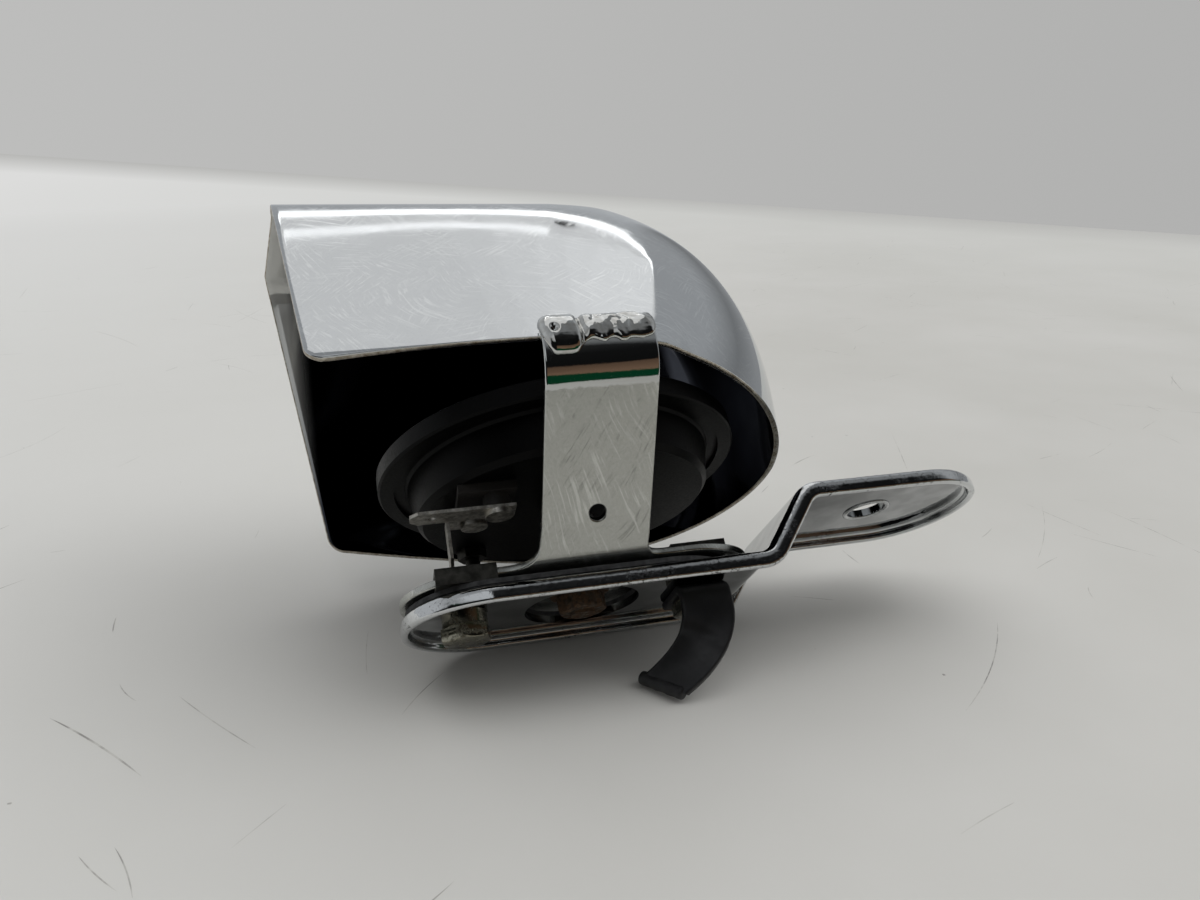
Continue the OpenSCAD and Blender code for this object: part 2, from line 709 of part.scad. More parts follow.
// Horn levels, from the diaphragm's middle
gasket_top = diaphragm_t / 2 + gasket_t;
flange_top = -gasket_top;
flange_low = flange_top - flange_t;
floor_z = -cup_drop + cup_t;
flange_r = horn_d / 2 - ring_t;
armature_low = -diaphragm_t / 2 - armature_t;
pole_top = armature_low - stroke - rest_gap;
function from_edge(inwards, angle) = (cup_back_r - inwards) * [cos(angle), sin(angle)];
terminal_spots = [from_edge(flat_in, flat_angle), from_edge(bent_in, bent_angle)];
rivet_gap = 0.8;
flange_bend = 0.7;
pivot_r = cup_back_r - pivot_in;
point_r = pivot_r - point_l;
adjuster_r = pivot_r + tail_l;
bobbin_r = point_r - point_d / 2 - coil_gap;
adjuster_spot = [adjuster_r * cos(breaker_angle), adjuster_r * sin(breaker_angle)];

module horn_housing() {
    color("#2a2b2d")
        on_table()
            difference() {
                turned([[stud_d / 2 + bolt_gap, floor_z], [cup_back_r - cup_t, floor_z],
                    [cup_front_r - cup_t, flange_low + cup_t / 2], [cup_front_r, flange_top],
                    [flange_r - seat, flange_top], [flange_r - seat, flange_low],
                    [cup_front_r + flange_bend, flange_low], [cup_front_r, flange_low - flange_bend],
                    [cup_back_r, -cup_drop + cup_t], [cup_back_r - cup_t, -cup_drop],
                    [stud_d / 2 + bolt_gap, -cup_drop]]);
                for (p = terminal_spots)
                    rod(p.x, p.y, -cup_drop - 1, floor_z + 1, rivet_d / 2 + rivet_gap);
                rod(adjuster_spot.x, adjuster_spot.y, -cup_drop - 1, floor_z + 1, adjuster_d / 2 + bolt_gap);
            }
}

module clamp_ring() {
    r = horn_d / 2;
    inner = r - ring_t - ring_fold;
    color("#3c3d40")
        on_table()
            turned([[inner, gasket_top], [r - ring_t, gasket_top], [r - ring_t, flange_low - seat],
                [inner, flange_low - seat], [inner, flange_low - seat - ring_t],
                [r - ring_t / 2, flange_low - seat - ring_t], [r, flange_low - seat - ring_t / 2],
                [r, gasket_top + ring_t / 2], [r - ring_t / 2, gasket_top + ring_t],
                [inner, gasket_top + ring_t]]);
}

module rear_gasket() {
    color("#7a6a4f")
        on_table()
            ring(cup_front_r, flange_r - seat, flange_top, flange_top + gasket_t);
}

module front_gasket() {
    color("#7a6a4f")
        on_table()
            ring(cup_front_r, flange_r - seat, diaphragm_t / 2, gasket_top);
}

module diaphragm() {
    color("#8b8d90")
        on_table()
            ring(stem_d / 2 + seat, flange_r - seat, -diaphragm_t / 2, diaphragm_t / 2);
}

// Moving stack: armature with its stem, spacer, tone disc and nut
tone_low = diaphragm_t / 2 + tone_lift;
tone_nut_h = 3;

module armature() {
    color("#6f7276")
        on_table() {
            rod(0, 0, armature_low, -diaphragm_t / 2, armature_d / 2);
            rod(0, 0, -diaphragm_t, tone_low + tone_t + tone_nut_h + 1, stem_d / 2);
        }
}

module centre_spacer() {
    color("#83868a")
        on_table()
            ring(stem_d / 2 + seat, centre_spacer_d / 2, diaphragm_t / 2, tone_low);
}

module tone_disc() {
    r = tone_d / 2;
    color("#77797c")
        on_table()
            turned([[stem_d / 2 + seat, tone_low], [r - tone_rim, tone_low], [r, tone_low + tone_cup],
                [r, tone_low + tone_t + tone_cup], [r - tone_rim, tone_low + tone_t],
                [stem_d / 2 + seat, tone_low + tone_t]]);
}

module tone_disc_nut() {
    color("#9a9c9e")
        on_table()
            difference() {
                hexagon(0, 0, tone_low + tone_t, tone_low + tone_t + tone_nut_h, tone_nut_af);
                rod(0, 0, tone_low, tone_low + tone_t + 2 * tone_nut_h, stem_d / 2 + seat);
            }
}

// Magnet
module pole_core() {
    color("#5f6265")
        on_table()
            union() {
                rod(0, 0, floor_z, pole_top, pole_d / 2);
                rod(0, 0, -cup_drop, floor_z + 1, stud_d / 2 + bolt_gap - seat);
            }
}

// The breaker's levels, and how far its arm's inner end drops at full travel
pad_gap = 0.05;
arm_top = armature_low - pad_gap - pad_h;
arm_low = arm_top - arm_t;
arm_mid = (arm_top + arm_low) / 2;
push_r = 1;
push_x = arm_inner + push_r + 0.2;
arm_drop = stroke * (pivot_r - arm_inner) / (pivot_r - push_x);
moving_gap = 0.3;
bobbin_top = arm_low - arm_drop - moving_gap;
bobbin_in = pole_d / 2 + 0.1;
winding_gap = 0.8;

module coil_bobbin() {
    r = bobbin_r;
    w = bobbin_wall;
    color("#3a2c22")
        on_table()
            turned([[bobbin_in, floor_z], [r, floor_z], [r, floor_z + w], [bobbin_in + w, floor_z + w],
                [bobbin_in + w, bobbin_top - w], [r, bobbin_top - w], [r, bobbin_top],
                [bobbin_in, bobbin_top]]);
}

module coil_winding() {
    color("#a5562b")
        on_table()
            ring(bobbin_in + bobbin_wall + seat, bobbin_r - winding_gap, floor_z + bobbin_wall + seat,
                bobbin_top - bobbin_wall - seat);
}

// Contact breaker, drawn with its arm along +X and turned to its place
point_h = 0.35;
leaf_low = arm_top + 2 * point_h;
post_t = 1;
post_half = arm_w / 2 + moving_gap;
post_foot = 2.2;
// The arm's tail reaches just past the adjusting screw
arm_outer = adjuster_r + adjuster_d / 2 + 0.4;

module at_breaker() {
    on_table()
        rotate([0, 0, breaker_angle])
            children();
}

module breaker_arm() {
    color("#b08d4a")
        at_breaker()
            difference() {
                union() {
                    translate([arm_inner, -arm_w / 2, arm_low])
                        cube([arm_outer - arm_inner, arm_w, arm_t]);
                    translate([pivot_r, arm_w / 2, arm_mid])
                        rotate([90, 0, 0])
                            cylinder(h = arm_w, r = pin_d / 2 + arm_t);
                }
                translate([pivot_r, arm_w, arm_mid])
                    rotate([90, 0, 0])
                        cylinder(h = 2 * arm_w, r = pin_d / 2 + pin_gap);
            }
}

module moving_contact() {
    color("#d8d8d2")
        at_breaker()
            rod(point_r, 0, arm_top, arm_top + point_h, point_d / 2);
}

module push_pad() {
    color("#5b3a26")
        at_breaker()
            rod(push_x, 0, arm_top, arm_top + pad_h, push_r);
}

module breaker_post() {
    color("#8e9092")
        at_breaker()
            difference() {
                union() {
                    translate([pivot_r - post_foot, -post_half - post_t, floor_z])
                        cube([2 * post_foot, 2 * (post_half + post_t), post_t]);
                    for (s = [-1, 1])
                        translate([pivot_r - post_foot, s > 0 ? post_half : -post_half - post_t, floor_z])
                            cube([2 * post_foot, post_t, arm_mid + pin_d - floor_z]);
                }
                translate([pivot_r, 2 * arm_w, arm_mid])
                    rotate([90, 0, 0])
                        cylinder(h = 4 * arm_w, r = pin_d / 2 + seat);
            }
}

module breaker_pin() {
    color("#a7a9ab")
        at_breaker()
            translate([pivot_r, post_half + post_t, arm_mid])
                rotate([90, 0, 0])
                    cylinder(h = 2 * (post_half + post_t), r = pin_d / 2);
}

// Fixed contact on a bracket that reaches over the arm from one side
riser_y = post_half + post_t + 1.6;
riser_t = 0.8;
foot_l = 5;
foot_w = 6;
card_t = 0.8;

module breaker_insulator() {
    color("#6a4a30")
        at_breaker()
            translate([point_r - foot_l / 2, riser_y, floor_z])
                cube([foot_l, foot_w, card_t]);
}

module contact_bracket() {
    foot_z = floor_z + card_t;
    color("#b08d4a")
        at_breaker()
            translate([point_r - foot_l / 2, 0, 0]) {
                translate([0, riser_y, foot_z])
                    cube([foot_l, foot_w, riser_t]);
                translate([0, riser_y, foot_z])
                    cube([foot_l, riser_t, leaf_low + riser_t - foot_z]);
                translate([0, -point_d / 2, leaf_low])
                    cube([foot_l, riser_y + point_d / 2 + riser_t, riser_t]);
            }
}

module fixed_contact() {
    color("#d8d8d2")
        at_breaker()
            rod(point_r, 0, arm_top + point_h + seat / 2, leaf_low, point_d / 2);
}

// Adjusting screw through the cup's back, with its lock nut outside
module adjusting_screw() {
    head_low = -cup_drop - locknut_h - 2;
    color("#9c9d96")
        on_table()
            difference() {
                rod(adjuster_spot.x, adjuster_spot.y, head_low, arm_low - screw_gap, adjuster_d / 2);
                translate([adjuster_spot.x - adjuster_d, adjuster_spot.y - 0.4, head_low - 1])
                    cube([2 * adjuster_d, 0.8, 2]);
            }
}

module adjuster_nut() {
    color("#8d8e88")
        on_table()
            difference() {
                hexagon(adjuster_spot.x, adjuster_spot.y, -cup_drop - locknut_h, -cup_drop, locknut_af);
                rod(adjuster_spot.x, adjuster_spot.y, -cup_drop - locknut_h - 1, -cup_drop + 1,
                    adjuster_d / 2 + pin_gap);
            }
}

// Terminals on a fibre plate
plate_face = -cup_drop - fibre_t;
flat_low = plate_face - bush_h - blade_t;
bent_low = plate_face - blade_t;

module rivet_holes(low, high) {
    for (p = terminal_spots)
        rod(p.x, p.y, low, high, rivet_d / 2 + seat);
}

module terminal_plate() {
    color("#4b3324")
        on_table()
            difference() {
                translate([terminal_spots[1].x - fibre_edge, terminal_spots[0].y - fibre_edge, plate_face])
                    cube(concat([terminal_spots[0].x - terminal_spots[1].x + 2 * fibre_edge,
                        terminal_spots[1].y - terminal_spots[0].y + 2 * fibre_edge], [fibre_t]));
                rivet_holes(plate_face - 1, -cup_drop + 1);
            }
}

module inner_insulator() {
    color("#5a4030")
        on_table()
            difference() {
                for (p = terminal_spots)
                    rod(p.x, p.y, floor_z, floor_z + card_t, rivet_head_d / 2);
                rivet_holes(floor_z - 1, floor_z + 2);
            }
}

module terminal_bush() {
    color("#3b2a20")
        on_table()
            difference() {
                rod(terminal_spots[0].x, terminal_spots[0].y, flat_low + blade_t, plate_face, rivet_head_d / 2);
                rivet_holes(flat_low, plate_face + 1);
            }
}

module flat_terminal() {
    spot = terminal_spots[0];
    tip_x = spot.x - blade_l;
    back_x = spot.x + 4;
    nose = 1.8;
    hole_in = 5;
    hole_r = 0.9;
    color("#8c8775")
        on_table()
            difference() {
                slab(flat_low, flat_low + blade_t)
                    translate([0, spot.y])
                        polygon([[back_x, -blade_w / 2], [back_x, blade_w / 2],
                            [tip_x + nose, blade_w / 2], [tip_x, blade_w / 2 - nose],
                            [tip_x, nose - blade_w / 2], [tip_x + nose, -blade_w / 2]]);
                rivet_holes(flat_low - 1, flat_low + 2);
                rod(tip_x + hole_in, spot.y, flat_low - 1, flat_low + 2, hole_r);
            }
}

module bent_terminal() {
    spot = terminal_spots[1];
    bend_x = spot.x - 7;
    back_x = spot.x + 3.4;
    nose = 1.6;
    color("#8c8775")
        on_table()
            difference() {
                union() {
                    translate([bend_x, spot.y - blade_w / 2, bent_low])
                        cube([back_x - bend_x, blade_w, blade_t]);
                    along_x(bend_x, bend_x + blade_t)
                        translate([spot.y, bent_low + blade_t])
                            polygon([[-blade_w / 2, 0], [blade_w / 2, 0], [blade_w / 2, nose - bent_l],
                                [blade_w / 2 - nose, -bent_l], [nose - blade_w / 2, -bent_l],
                                [-blade_w / 2, nose - bent_l]]);
                }
                rivet_holes(bent_low - 1, bent_low + 2);
            }
}

module terminal_rivets() {
    lows = [flat_low, bent_low];
    head_h = 1.2;
    inner_h = 0.8;
    color("#8f8a7a")
        on_table()
            for (k = [0, 1])
                let (p = terminal_spots[k]) {
                    rod(p.x, p.y, lows[k] - head_h, floor_z + card_t + inner_h, rivet_d / 2);
                    rod(p.x, p.y, lows[k] - head_h, lows[k], rivet_head_d / 2);
                    rod(p.x, p.y, floor_z + card_t, floor_z + card_t + inner_h, rivet_head_d / 2 - 0.5);
                }
}

// Stud, spacer tube, washer and nut that hold the horn to the foot plate
collar_low = -cup_drop - collar_h;
washer_low = plate_low - washer_t;
stud_nut_low = washer_low - stud_nut_h;
stud_proud = 0.7;

module horn_stud() {
    color("#8a7d6c")
        on_table() {
            hexagon(0, 0, collar_low, -cup_drop, stud_af);
            rod(0, 0, stud_nut_low - stud_proud, collar_low + 1, stud_d / 2);
        }
}

module spacer_tube() {
    color("#77797b")
        on_table()
            ring(stud_d / 2 + seat, spacer_d / 2, plate_top, collar_low);
}

module stud_washer() {
    color("#7b624a")
        on_table()
            ring(stud_d / 2 + seat, washer_d / 2, washer_low, plate_low);
}

module stud_nut() {
    color("#8a6a3e")
        on_table()
            difference() {
                hexagon(0, 0, stud_nut_low, washer_low, stud_af);
                rod(0, 0, stud_nut_low - 1, washer_low + 1, stud_d / 2 + seat);
            }
}

cover_shell();
cover_strap();
weld_beads();
mount_bracket();
bracket_pad();
bracket_bolts();
lock_washer();
spacer_washer();
spring_nut();
block_nut();
wire_clip();
horn_housing();
clamp_ring();
rear_gasket();
diaphragm();
front_gasket();
armature();
centre_spacer();
tone_disc();
tone_disc_nut();
pole_core();
coil_bobbin();
coil_winding();
breaker_insulator();
contact_bracket();
fixed_contact();
breaker_post();
breaker_pin();
breaker_arm();
moving_contact();
push_pad();
adjusting_screw();
adjuster_nut();
terminal_plate();
inner_insulator();
terminal_bush();
flat_terminal();
bent_terminal();
terminal_rivets();
horn_stud();
spacer_tube();
stud_washer();
stud_nut();
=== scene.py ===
# %% [markdown]
# # A motorcycle horn under its chromed cover
#
# A disc horn stands behind a bell-like sheet cover. A welded strap holds the cover to a foot
# plate, and a joggled bracket with a lip all round carries both. The frame comes from the
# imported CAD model. Each cell below makes one visible form again with the roundness, weld,
# pitting and wear of the real thing, or gives a carried piece its finish.

# %% The frame, and helpers for meshes
import json
import math
import random
import bpy
import bmesh
from mathutils import Matrix, Vector, noise


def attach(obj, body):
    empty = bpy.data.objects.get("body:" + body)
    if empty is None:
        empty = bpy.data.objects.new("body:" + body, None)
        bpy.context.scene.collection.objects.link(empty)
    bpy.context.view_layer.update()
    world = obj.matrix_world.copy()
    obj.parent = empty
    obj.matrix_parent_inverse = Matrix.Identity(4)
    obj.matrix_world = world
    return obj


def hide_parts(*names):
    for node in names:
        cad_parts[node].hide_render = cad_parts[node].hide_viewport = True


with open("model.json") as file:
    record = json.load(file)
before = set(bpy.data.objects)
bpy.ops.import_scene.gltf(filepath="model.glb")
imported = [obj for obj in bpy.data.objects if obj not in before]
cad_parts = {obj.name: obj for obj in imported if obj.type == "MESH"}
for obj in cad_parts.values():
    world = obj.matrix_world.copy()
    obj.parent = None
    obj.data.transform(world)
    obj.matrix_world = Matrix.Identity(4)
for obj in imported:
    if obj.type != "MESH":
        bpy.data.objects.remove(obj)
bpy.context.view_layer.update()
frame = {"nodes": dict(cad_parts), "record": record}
MM = 0.001
# The object leans about X until the bracket's lip and the cover's rim touch the table
LEAN = math.radians(44.5839)
PLACE = Vector((-20.3528, -14.1826, 44.8196))
random.seed(11)


def row(p):
    """A point of the horn's own frame, in mm, as a point of the shared frame, in metres."""
    c, s = math.cos(LEAN), math.sin(LEAN)
    x, y, z = p
    return Vector((x + PLACE.x, y * c + z * s + PLACE.y, -y * s + z * c + PLACE.z)) * MM


def linked(name, data):
    """A new object in the scene."""
    piece = bpy.data.objects.new(name, data)
    bpy.context.scene.collection.objects.link(piece)
    return piece


def tidy(piece, merge=1e-7):
    """Merges doubled points and turns the faces outwards."""
    bm = bmesh.new()
    bm.from_mesh(piece.data)
    bmesh.ops.remove_doubles(bm, verts=bm.verts, dist=merge)
    bmesh.ops.recalc_face_normals(bm, faces=bm.faces)
    bm.to_mesh(piece.data)
    bm.free()


def make(name, verts, faces, smooth=True):
    """A mesh piece from points of the horn's frame."""
    mesh = bpy.data.meshes.new(name)
    mesh.from_pydata([row(v) for v in verts], [], faces)
    piece = linked(name, mesh)
    tidy(piece)
    if smooth:
        mesh.polygons.foreach_set("use_smooth", [True] * len(mesh.polygons))
    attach(piece, "root_body")
    return piece


def baked(piece):
    """Applies the piece's modifiers to its mesh."""
    bpy.context.view_layer.update()
    deps = bpy.context.evaluated_depsgraph_get()
    mesh = bpy.data.meshes.new_from_object(piece.evaluated_get(deps))
    piece.modifiers.clear()
    old = piece.data
    piece.data = mesh
    bpy.data.meshes.remove(old)
    return piece


def cut(piece, tools, operation="DIFFERENCE"):
    """Cuts away or keeps what tool meshes cover, and removes them."""
    for tool in tools:
        step = piece.modifiers.new("cut", "BOOLEAN")
        step.operation, step.solver, step.object = operation, "EXACT", tool
    baked(piece)
    for tool in tools:
        bpy.data.objects.remove(tool)
    return piece


def arc(steps, turn=math.pi / 2):
    """Cosine and sine at even steps through a turn, both ends included."""
    return [(math.cos(turn * k / steps), math.sin(turn * k / steps)) for k in range(steps + 1)]


def ring_faces(rows, size, looped=False, capped=True):
    """Quads between rings of points, which close into a loop or have caps."""
    faces = [(j * size + k, j * size + (k + 1) % size, (j + 1) % rows * size + (k + 1) % size,
              (j + 1) % rows * size + k) for j in range(rows if looped else rows - 1) for k in range(size)]
    return faces + [tuple(range(size)), tuple(range((rows - 1) * size, rows * size))] if capped else faces


def lathe(name, outline, at=(0, 0), steps=96, closed=True):
    """An outline of (radius, height) pairs turned round an axis along the horn's Z."""
    verts = [(at[0] + r * c, at[1] + r * s, z) for r, z in outline for c, s in arc(steps, 2 * math.pi)[:-1]]
    return make(name, verts, ring_faces(len(outline), steps, closed, False))


def rod(at, low, high, r, steps=64):
    """A plain cylinder, used as a cutting tool."""
    piece = lathe("tool", [(r, low), (r, high)], at, steps, closed=False)
    bm = bmesh.new()
    bm.from_mesh(piece.data)
    bmesh.ops.holes_fill(bm, edges=bm.edges)
    bmesh.ops.recalc_face_normals(bm, faces=bm.faces)
    bm.to_mesh(piece.data)
    bm.free()
    return piece


def by_angle(piece, degrees):
    """Smooth faces, with edges sharper than the angle kept crisp."""
    bm = bmesh.new()
    bm.from_mesh(piece.data)
    for f in bm.faces:
        f.smooth = True
    for e in bm.edges:
        e.smooth = not e.is_manifold or e.calc_face_angle(0) < math.radians(degrees)
    bm.to_mesh(piece.data)
    bm.free()
    return piece


# %% [markdown]
# ## One function adds a node
#
# A material, the world and the geometry of the bolts are all node trees. One small function
# adds any node with its settings and links it. A colour is written as an sRGB hex value and
# turned to linear once. Patterns read Object coordinates, so they stay on the piece, and a
# pattern's scale is one over its real size.

# %% Adding nodes
def linear(code):
    """An sRGB hex colour as linear values."""
    def one(v):
        v /= 255
        return v / 12.92 if v <= 0.04045 else ((v + 0.055) / 1.055) ** 2.4
    return tuple(one(int(code[i:i + 2], 16)) for i in (1, 3, 5)) + (1.0,)


def plug(tree, node, inputs):
    """Sets a node's inputs: a value, a hex colour, another node's output, or a list of outputs."""
    for key, value in dict(inputs).items():
        for one in value if isinstance(value, list) else [value]:
            if isinstance(one, bpy.types.NodeSocket):
                tree.links.new(one, node.inputs[key])
            else:
                node.inputs[key].default_value = linear(one) if isinstance(one, str) else one


def add(tree, kind, inputs=(), out=0, **settings):
    """Adds a node with its settings and inputs, and gives back one of its outputs."""
    node = tree.nodes.new(kind if "Node" in kind else "ShaderNode" + kind)
    for key, value in settings.items():
        setattr(node, key, value)
    plug(tree, node, inputs)
    return node.outputs[out]


# Added to a Mix node's call, this makes it blend colours and gives its colour output
BLEND = {"out": 2, "data_type": "RGBA"}


def begin(name):
    """A new material: the material, its tree, and the piece's own coordinates."""
    mat = bpy.data.materials.new(name)
    mat.use_nodes = True
    return mat, mat.node_tree, add(mat.node_tree, "TexCoord", out="Object")


def finish(mat, **sockets):
    """Sets the sockets of a material's shader."""
    tree = mat.node_tree
    plug(tree, tree.nodes["Principled BSDF"], {key.replace("_", " "): value for key, value in sockets.items()})
    return mat


def per(size_mm):
    """The scale of a pattern whose real size is in mm."""
    return 1 / (size_mm * MM)


print("a pattern of 2 mm has the scale", per(2))

# %% [markdown]
# ## Finishes
#
# The cover was plated bright and then wiped by hand for years, so it is a mirror with a faint
# haze and fine arcs. Steel parts are plated, painted, oiled or rusty. Three functions make the
# common kinds of finish, and the strap, bracket and cover have their own.

# %% Common kinds of finish
def metal(name, light, dark, rough, grain_mm, bump_mm, blotch_mm, spread=0.08):
    """Metal: blotches of two tones, uneven roughness and a fine grain."""
    mat, t, place = begin(name)
    slow, fine = (add(t, "TexNoise", {"Vector": place, "Scale": per(size), "Detail": 4, "Roughness": 0.6})
                  for size in (blotch_mm, grain_mm))
    blotch = add(t, "MapRange", {0: slow, 1: 0.36, 2: 0.66})
    return finish(
        mat, Metallic=1.0, Base_Color=add(t, "Mix", {0: blotch, 6: dark, 7: light}, **BLEND),
        Roughness=add(t, "MapRange", {0: fine, 1: 0.3, 2: 0.7, 3: max(0.03, rough - spread), 4: rough + spread}),
        Normal=add(t, "Bump", {"Height": fine, "Distance": bump_mm * MM}))


def dull(name, light, dark, rough, grain_mm, bump_mm, blotch_mm=7.0, **more):
    """Paint, rubber or fibre: not metallic, with grain and slow variation."""
    mat, t, place = begin(name)
    slow = add(t, "TexNoise", {"Vector": place, "Scale": per(blotch_mm), "Detail": 3, "Roughness": 0.6})
    fine = add(t, "TexNoise", {"Vector": place, "Scale": per(grain_mm), "Detail": 3, "Roughness": 0.55})
    blotch = add(t, "MapRange", {0: slow, 1: 0.34, 2: 0.68})
    return finish(
        mat, Base_Color=add(t, "Mix", {0: blotch, 6: dark, 7: light}, **BLEND),
        Roughness=add(t, "MapRange", {0: fine, 1: 0.3, 2: 0.7, 3: rough - 0.07, 4: rough + 0.07}),
        Normal=add(t, "Bump", {"Height": fine, "Distance": bump_mm * MM}), **more)


def rusty(name, steel, rust, deep, amount, rough, crust_mm=0.12):
    """Steel with rust in patches, which is rough and dull where the steel still shines."""
    mat, t, place = begin(name)
    slow, crumb, grain = (
        add(t, "TexNoise", {"Vector": place, "Scale": per(size), "Detail": detail, "Roughness": uneven})
        for size, detail, uneven in ((2.2, 6, 0.65), (0.8, 4, 0.55), (0.35, 4, 0.65)))
    patch = add(t, "MapRange", {0: slow, 1: 0.62 - amount, 2: 0.70 - amount * 0.7})
    depth = add(t, "MapRange", {0: crumb, 1: 0.35, 2: 0.65})
    tone = add(t, "Mix", {0: depth, 6: deep, 7: rust}, **BLEND)
    raised = add(t, "Math", {0: grain, 1: patch}, operation="MULTIPLY")
    return finish(
        mat, Base_Color=add(t, "Mix", {0: patch, 6: steel, 7: tone}, **BLEND),
        Metallic=add(t, "MapRange", {0: patch, 3: 1.0, 4: 0.15}),
        Roughness=add(t, "MapRange", {0: patch, 3: rough - 0.2, 4: rough + 0.25}),
        Normal=add(t, "Bump", {"Height": raised, "Distance": crust_mm * MM}))


# %% Wiping marks: long fine hairs, bent by slow noise and seen in patches
def wiped(t, place, turn, long, seed, hair_mm, patch_mm, low, high):
    """Hairs that a cloth leaves, long in one turned direction. Real ones are too fine for the render."""
    slow = add(t, "TexNoise", {"Vector": place, "Scale": per(38), "Detail": 1}, "Color")
    push = add(t, "VectorMath", {0: slow, 1: (0.016,) * 3}, operation="MULTIPLY")
    bent = add(t, "VectorMath", {0: place, 1: push}, operation="ADD")
    other = add(t, "VectorMath", {0: bent, 1: (seed,) * 3}, operation="ADD")
    along = add(t, "Mapping", {"Vector": other, "Rotation": turn, "Scale": long}, vector_type="TEXTURE")
    hairs = add(t, "TexNoise", {"Vector": along, "Scale": per(hair_mm), "Detail": 2, "Roughness": 0.5})
    line = add(t, "MapRange", {0: hairs, 1: 0.54, 2: 0.66})
    cloud = add(t, "TexNoise", {"Vector": other, "Scale": per(patch_mm), "Detail": 3, "Roughness": 0.6})
    patch = add(t, "MapRange", {0: cloud, 1: low, 2: high})
    return add(t, "Math", {0: line, 1: patch}, operation="MULTIPLY")


# %% The cover's two faces
def chrome_cover():
    """Old bright chrome on steel: a sharp mirror, faint haze, wiping arcs and a few dark specks."""
    mat, t, place = begin("cover_old_bright_chrome")
    # The wall lies nearly level, so the hairs are turned about the upright axis
    hair, *others = (
        wiped(t, place, (0, 0, turn), (1, 22, 4), seed, hair_mm, patch_mm, low, 0.64)
        for turn, seed, hair_mm, patch_mm, low in
        ((0.5, 0.0, 0.5, 15, 0.42), (-0.7, 3.7, 0.45, 13, 0.44), (1.3, 8.1, 0.55, 16, 0.44)))
    for other in others:
        hair = add(t, "Math", {0: hair, 1: other}, operation="MAXIMUM")
    cloud = add(t, "TexNoise", {"Vector": place, "Scale": per(18), "Detail": 4, "Roughness": 0.6})
    haze = add(t, "MapRange", {0: cloud, 1: 0.38, 2: 0.66, 3: 0.045, 4: 0.10})
    dust = add(t, "TexNoise", {"Vector": place, "Scale": per(0.5), "Detail": 3, "Roughness": 0.7})
    speck = add(t, "MapRange", {0: dust, 1: 0.60, 2: 0.74, 4: 0.35})
    tone = add(t, "Mix", {0: hair, 6: "#cacdcf", 7: "#d8dbdc"}, **BLEND)
    tone = add(t, "Mix", {0: speck, 6: tone, 7: "#8f9294"}, **BLEND)
    scuff = add(t, "Math", {0: hair, 1: 0.05, 2: haze}, operation="MULTIPLY_ADD")
    wave = add(t, "TexNoise", {"Vector": place, "Scale": per(20), "Detail": 2})
    ripple = add(t, "Bump", {"Height": wave, "Distance": 0.035 * MM})
    groove = add(t, "Bump", {"Height": hair, "Distance": 0.0006 * MM, "Strength": 0.6, "Normal": ripple})
    return finish(mat, Base_Color=tone, Metallic=1.0, Roughness=scuff, Normal=groove)


def inside_painted_shade_and_light():
    """The inside: a dark mirror whose dark tones are painted shade, turning near the mouth into a pale half-matt tone
    that is painted light.
    """
    mat, t, place = begin("cover_inside_painted_shade_and_light")
    x = add(t, "SeparateXYZ", {0: place})
    painted_light_at_mouth = add(t, "MapRange", {0: x, 1: -0.0830, 2: -0.0890})
    cloud = add(t, "TexNoise", {"Vector": place, "Scale": per(14), "Detail": 3})
    part = add(t, "MapRange", {0: cloud, 1: 0.35, 2: 0.65})
    # Painted shade: these dark tones stand in for the dark cavity that the inner mirror faces
    deep = add(t, "Mix", {0: part, 6: "#33343a", 7: "#44464c"}, **BLEND)
    wave = add(t, "TexNoise", {"Vector": place, "Scale": per(16), "Detail": 2})
    # Near the mouth the tone turns pale and half matt: painted light, in place of the bright room mirrored through
    # the mouth
    return finish(
        mat, Metallic=add(t, "MapRange", {0: painted_light_at_mouth, 3: 1.0, 4: 0.35}),
        Base_Color=add(t, "Mix", {0: painted_light_at_mouth, 6: deep, 7: "#d6d6d2"}, **BLEND),
        Roughness=add(t, "MapRange", {0: cloud, 1: 0.3, 2: 0.7, 3: 0.04, 4: 0.10}),
        Normal=add(t, "Bump", {"Height": wave, "Distance": 0.02 * MM}))


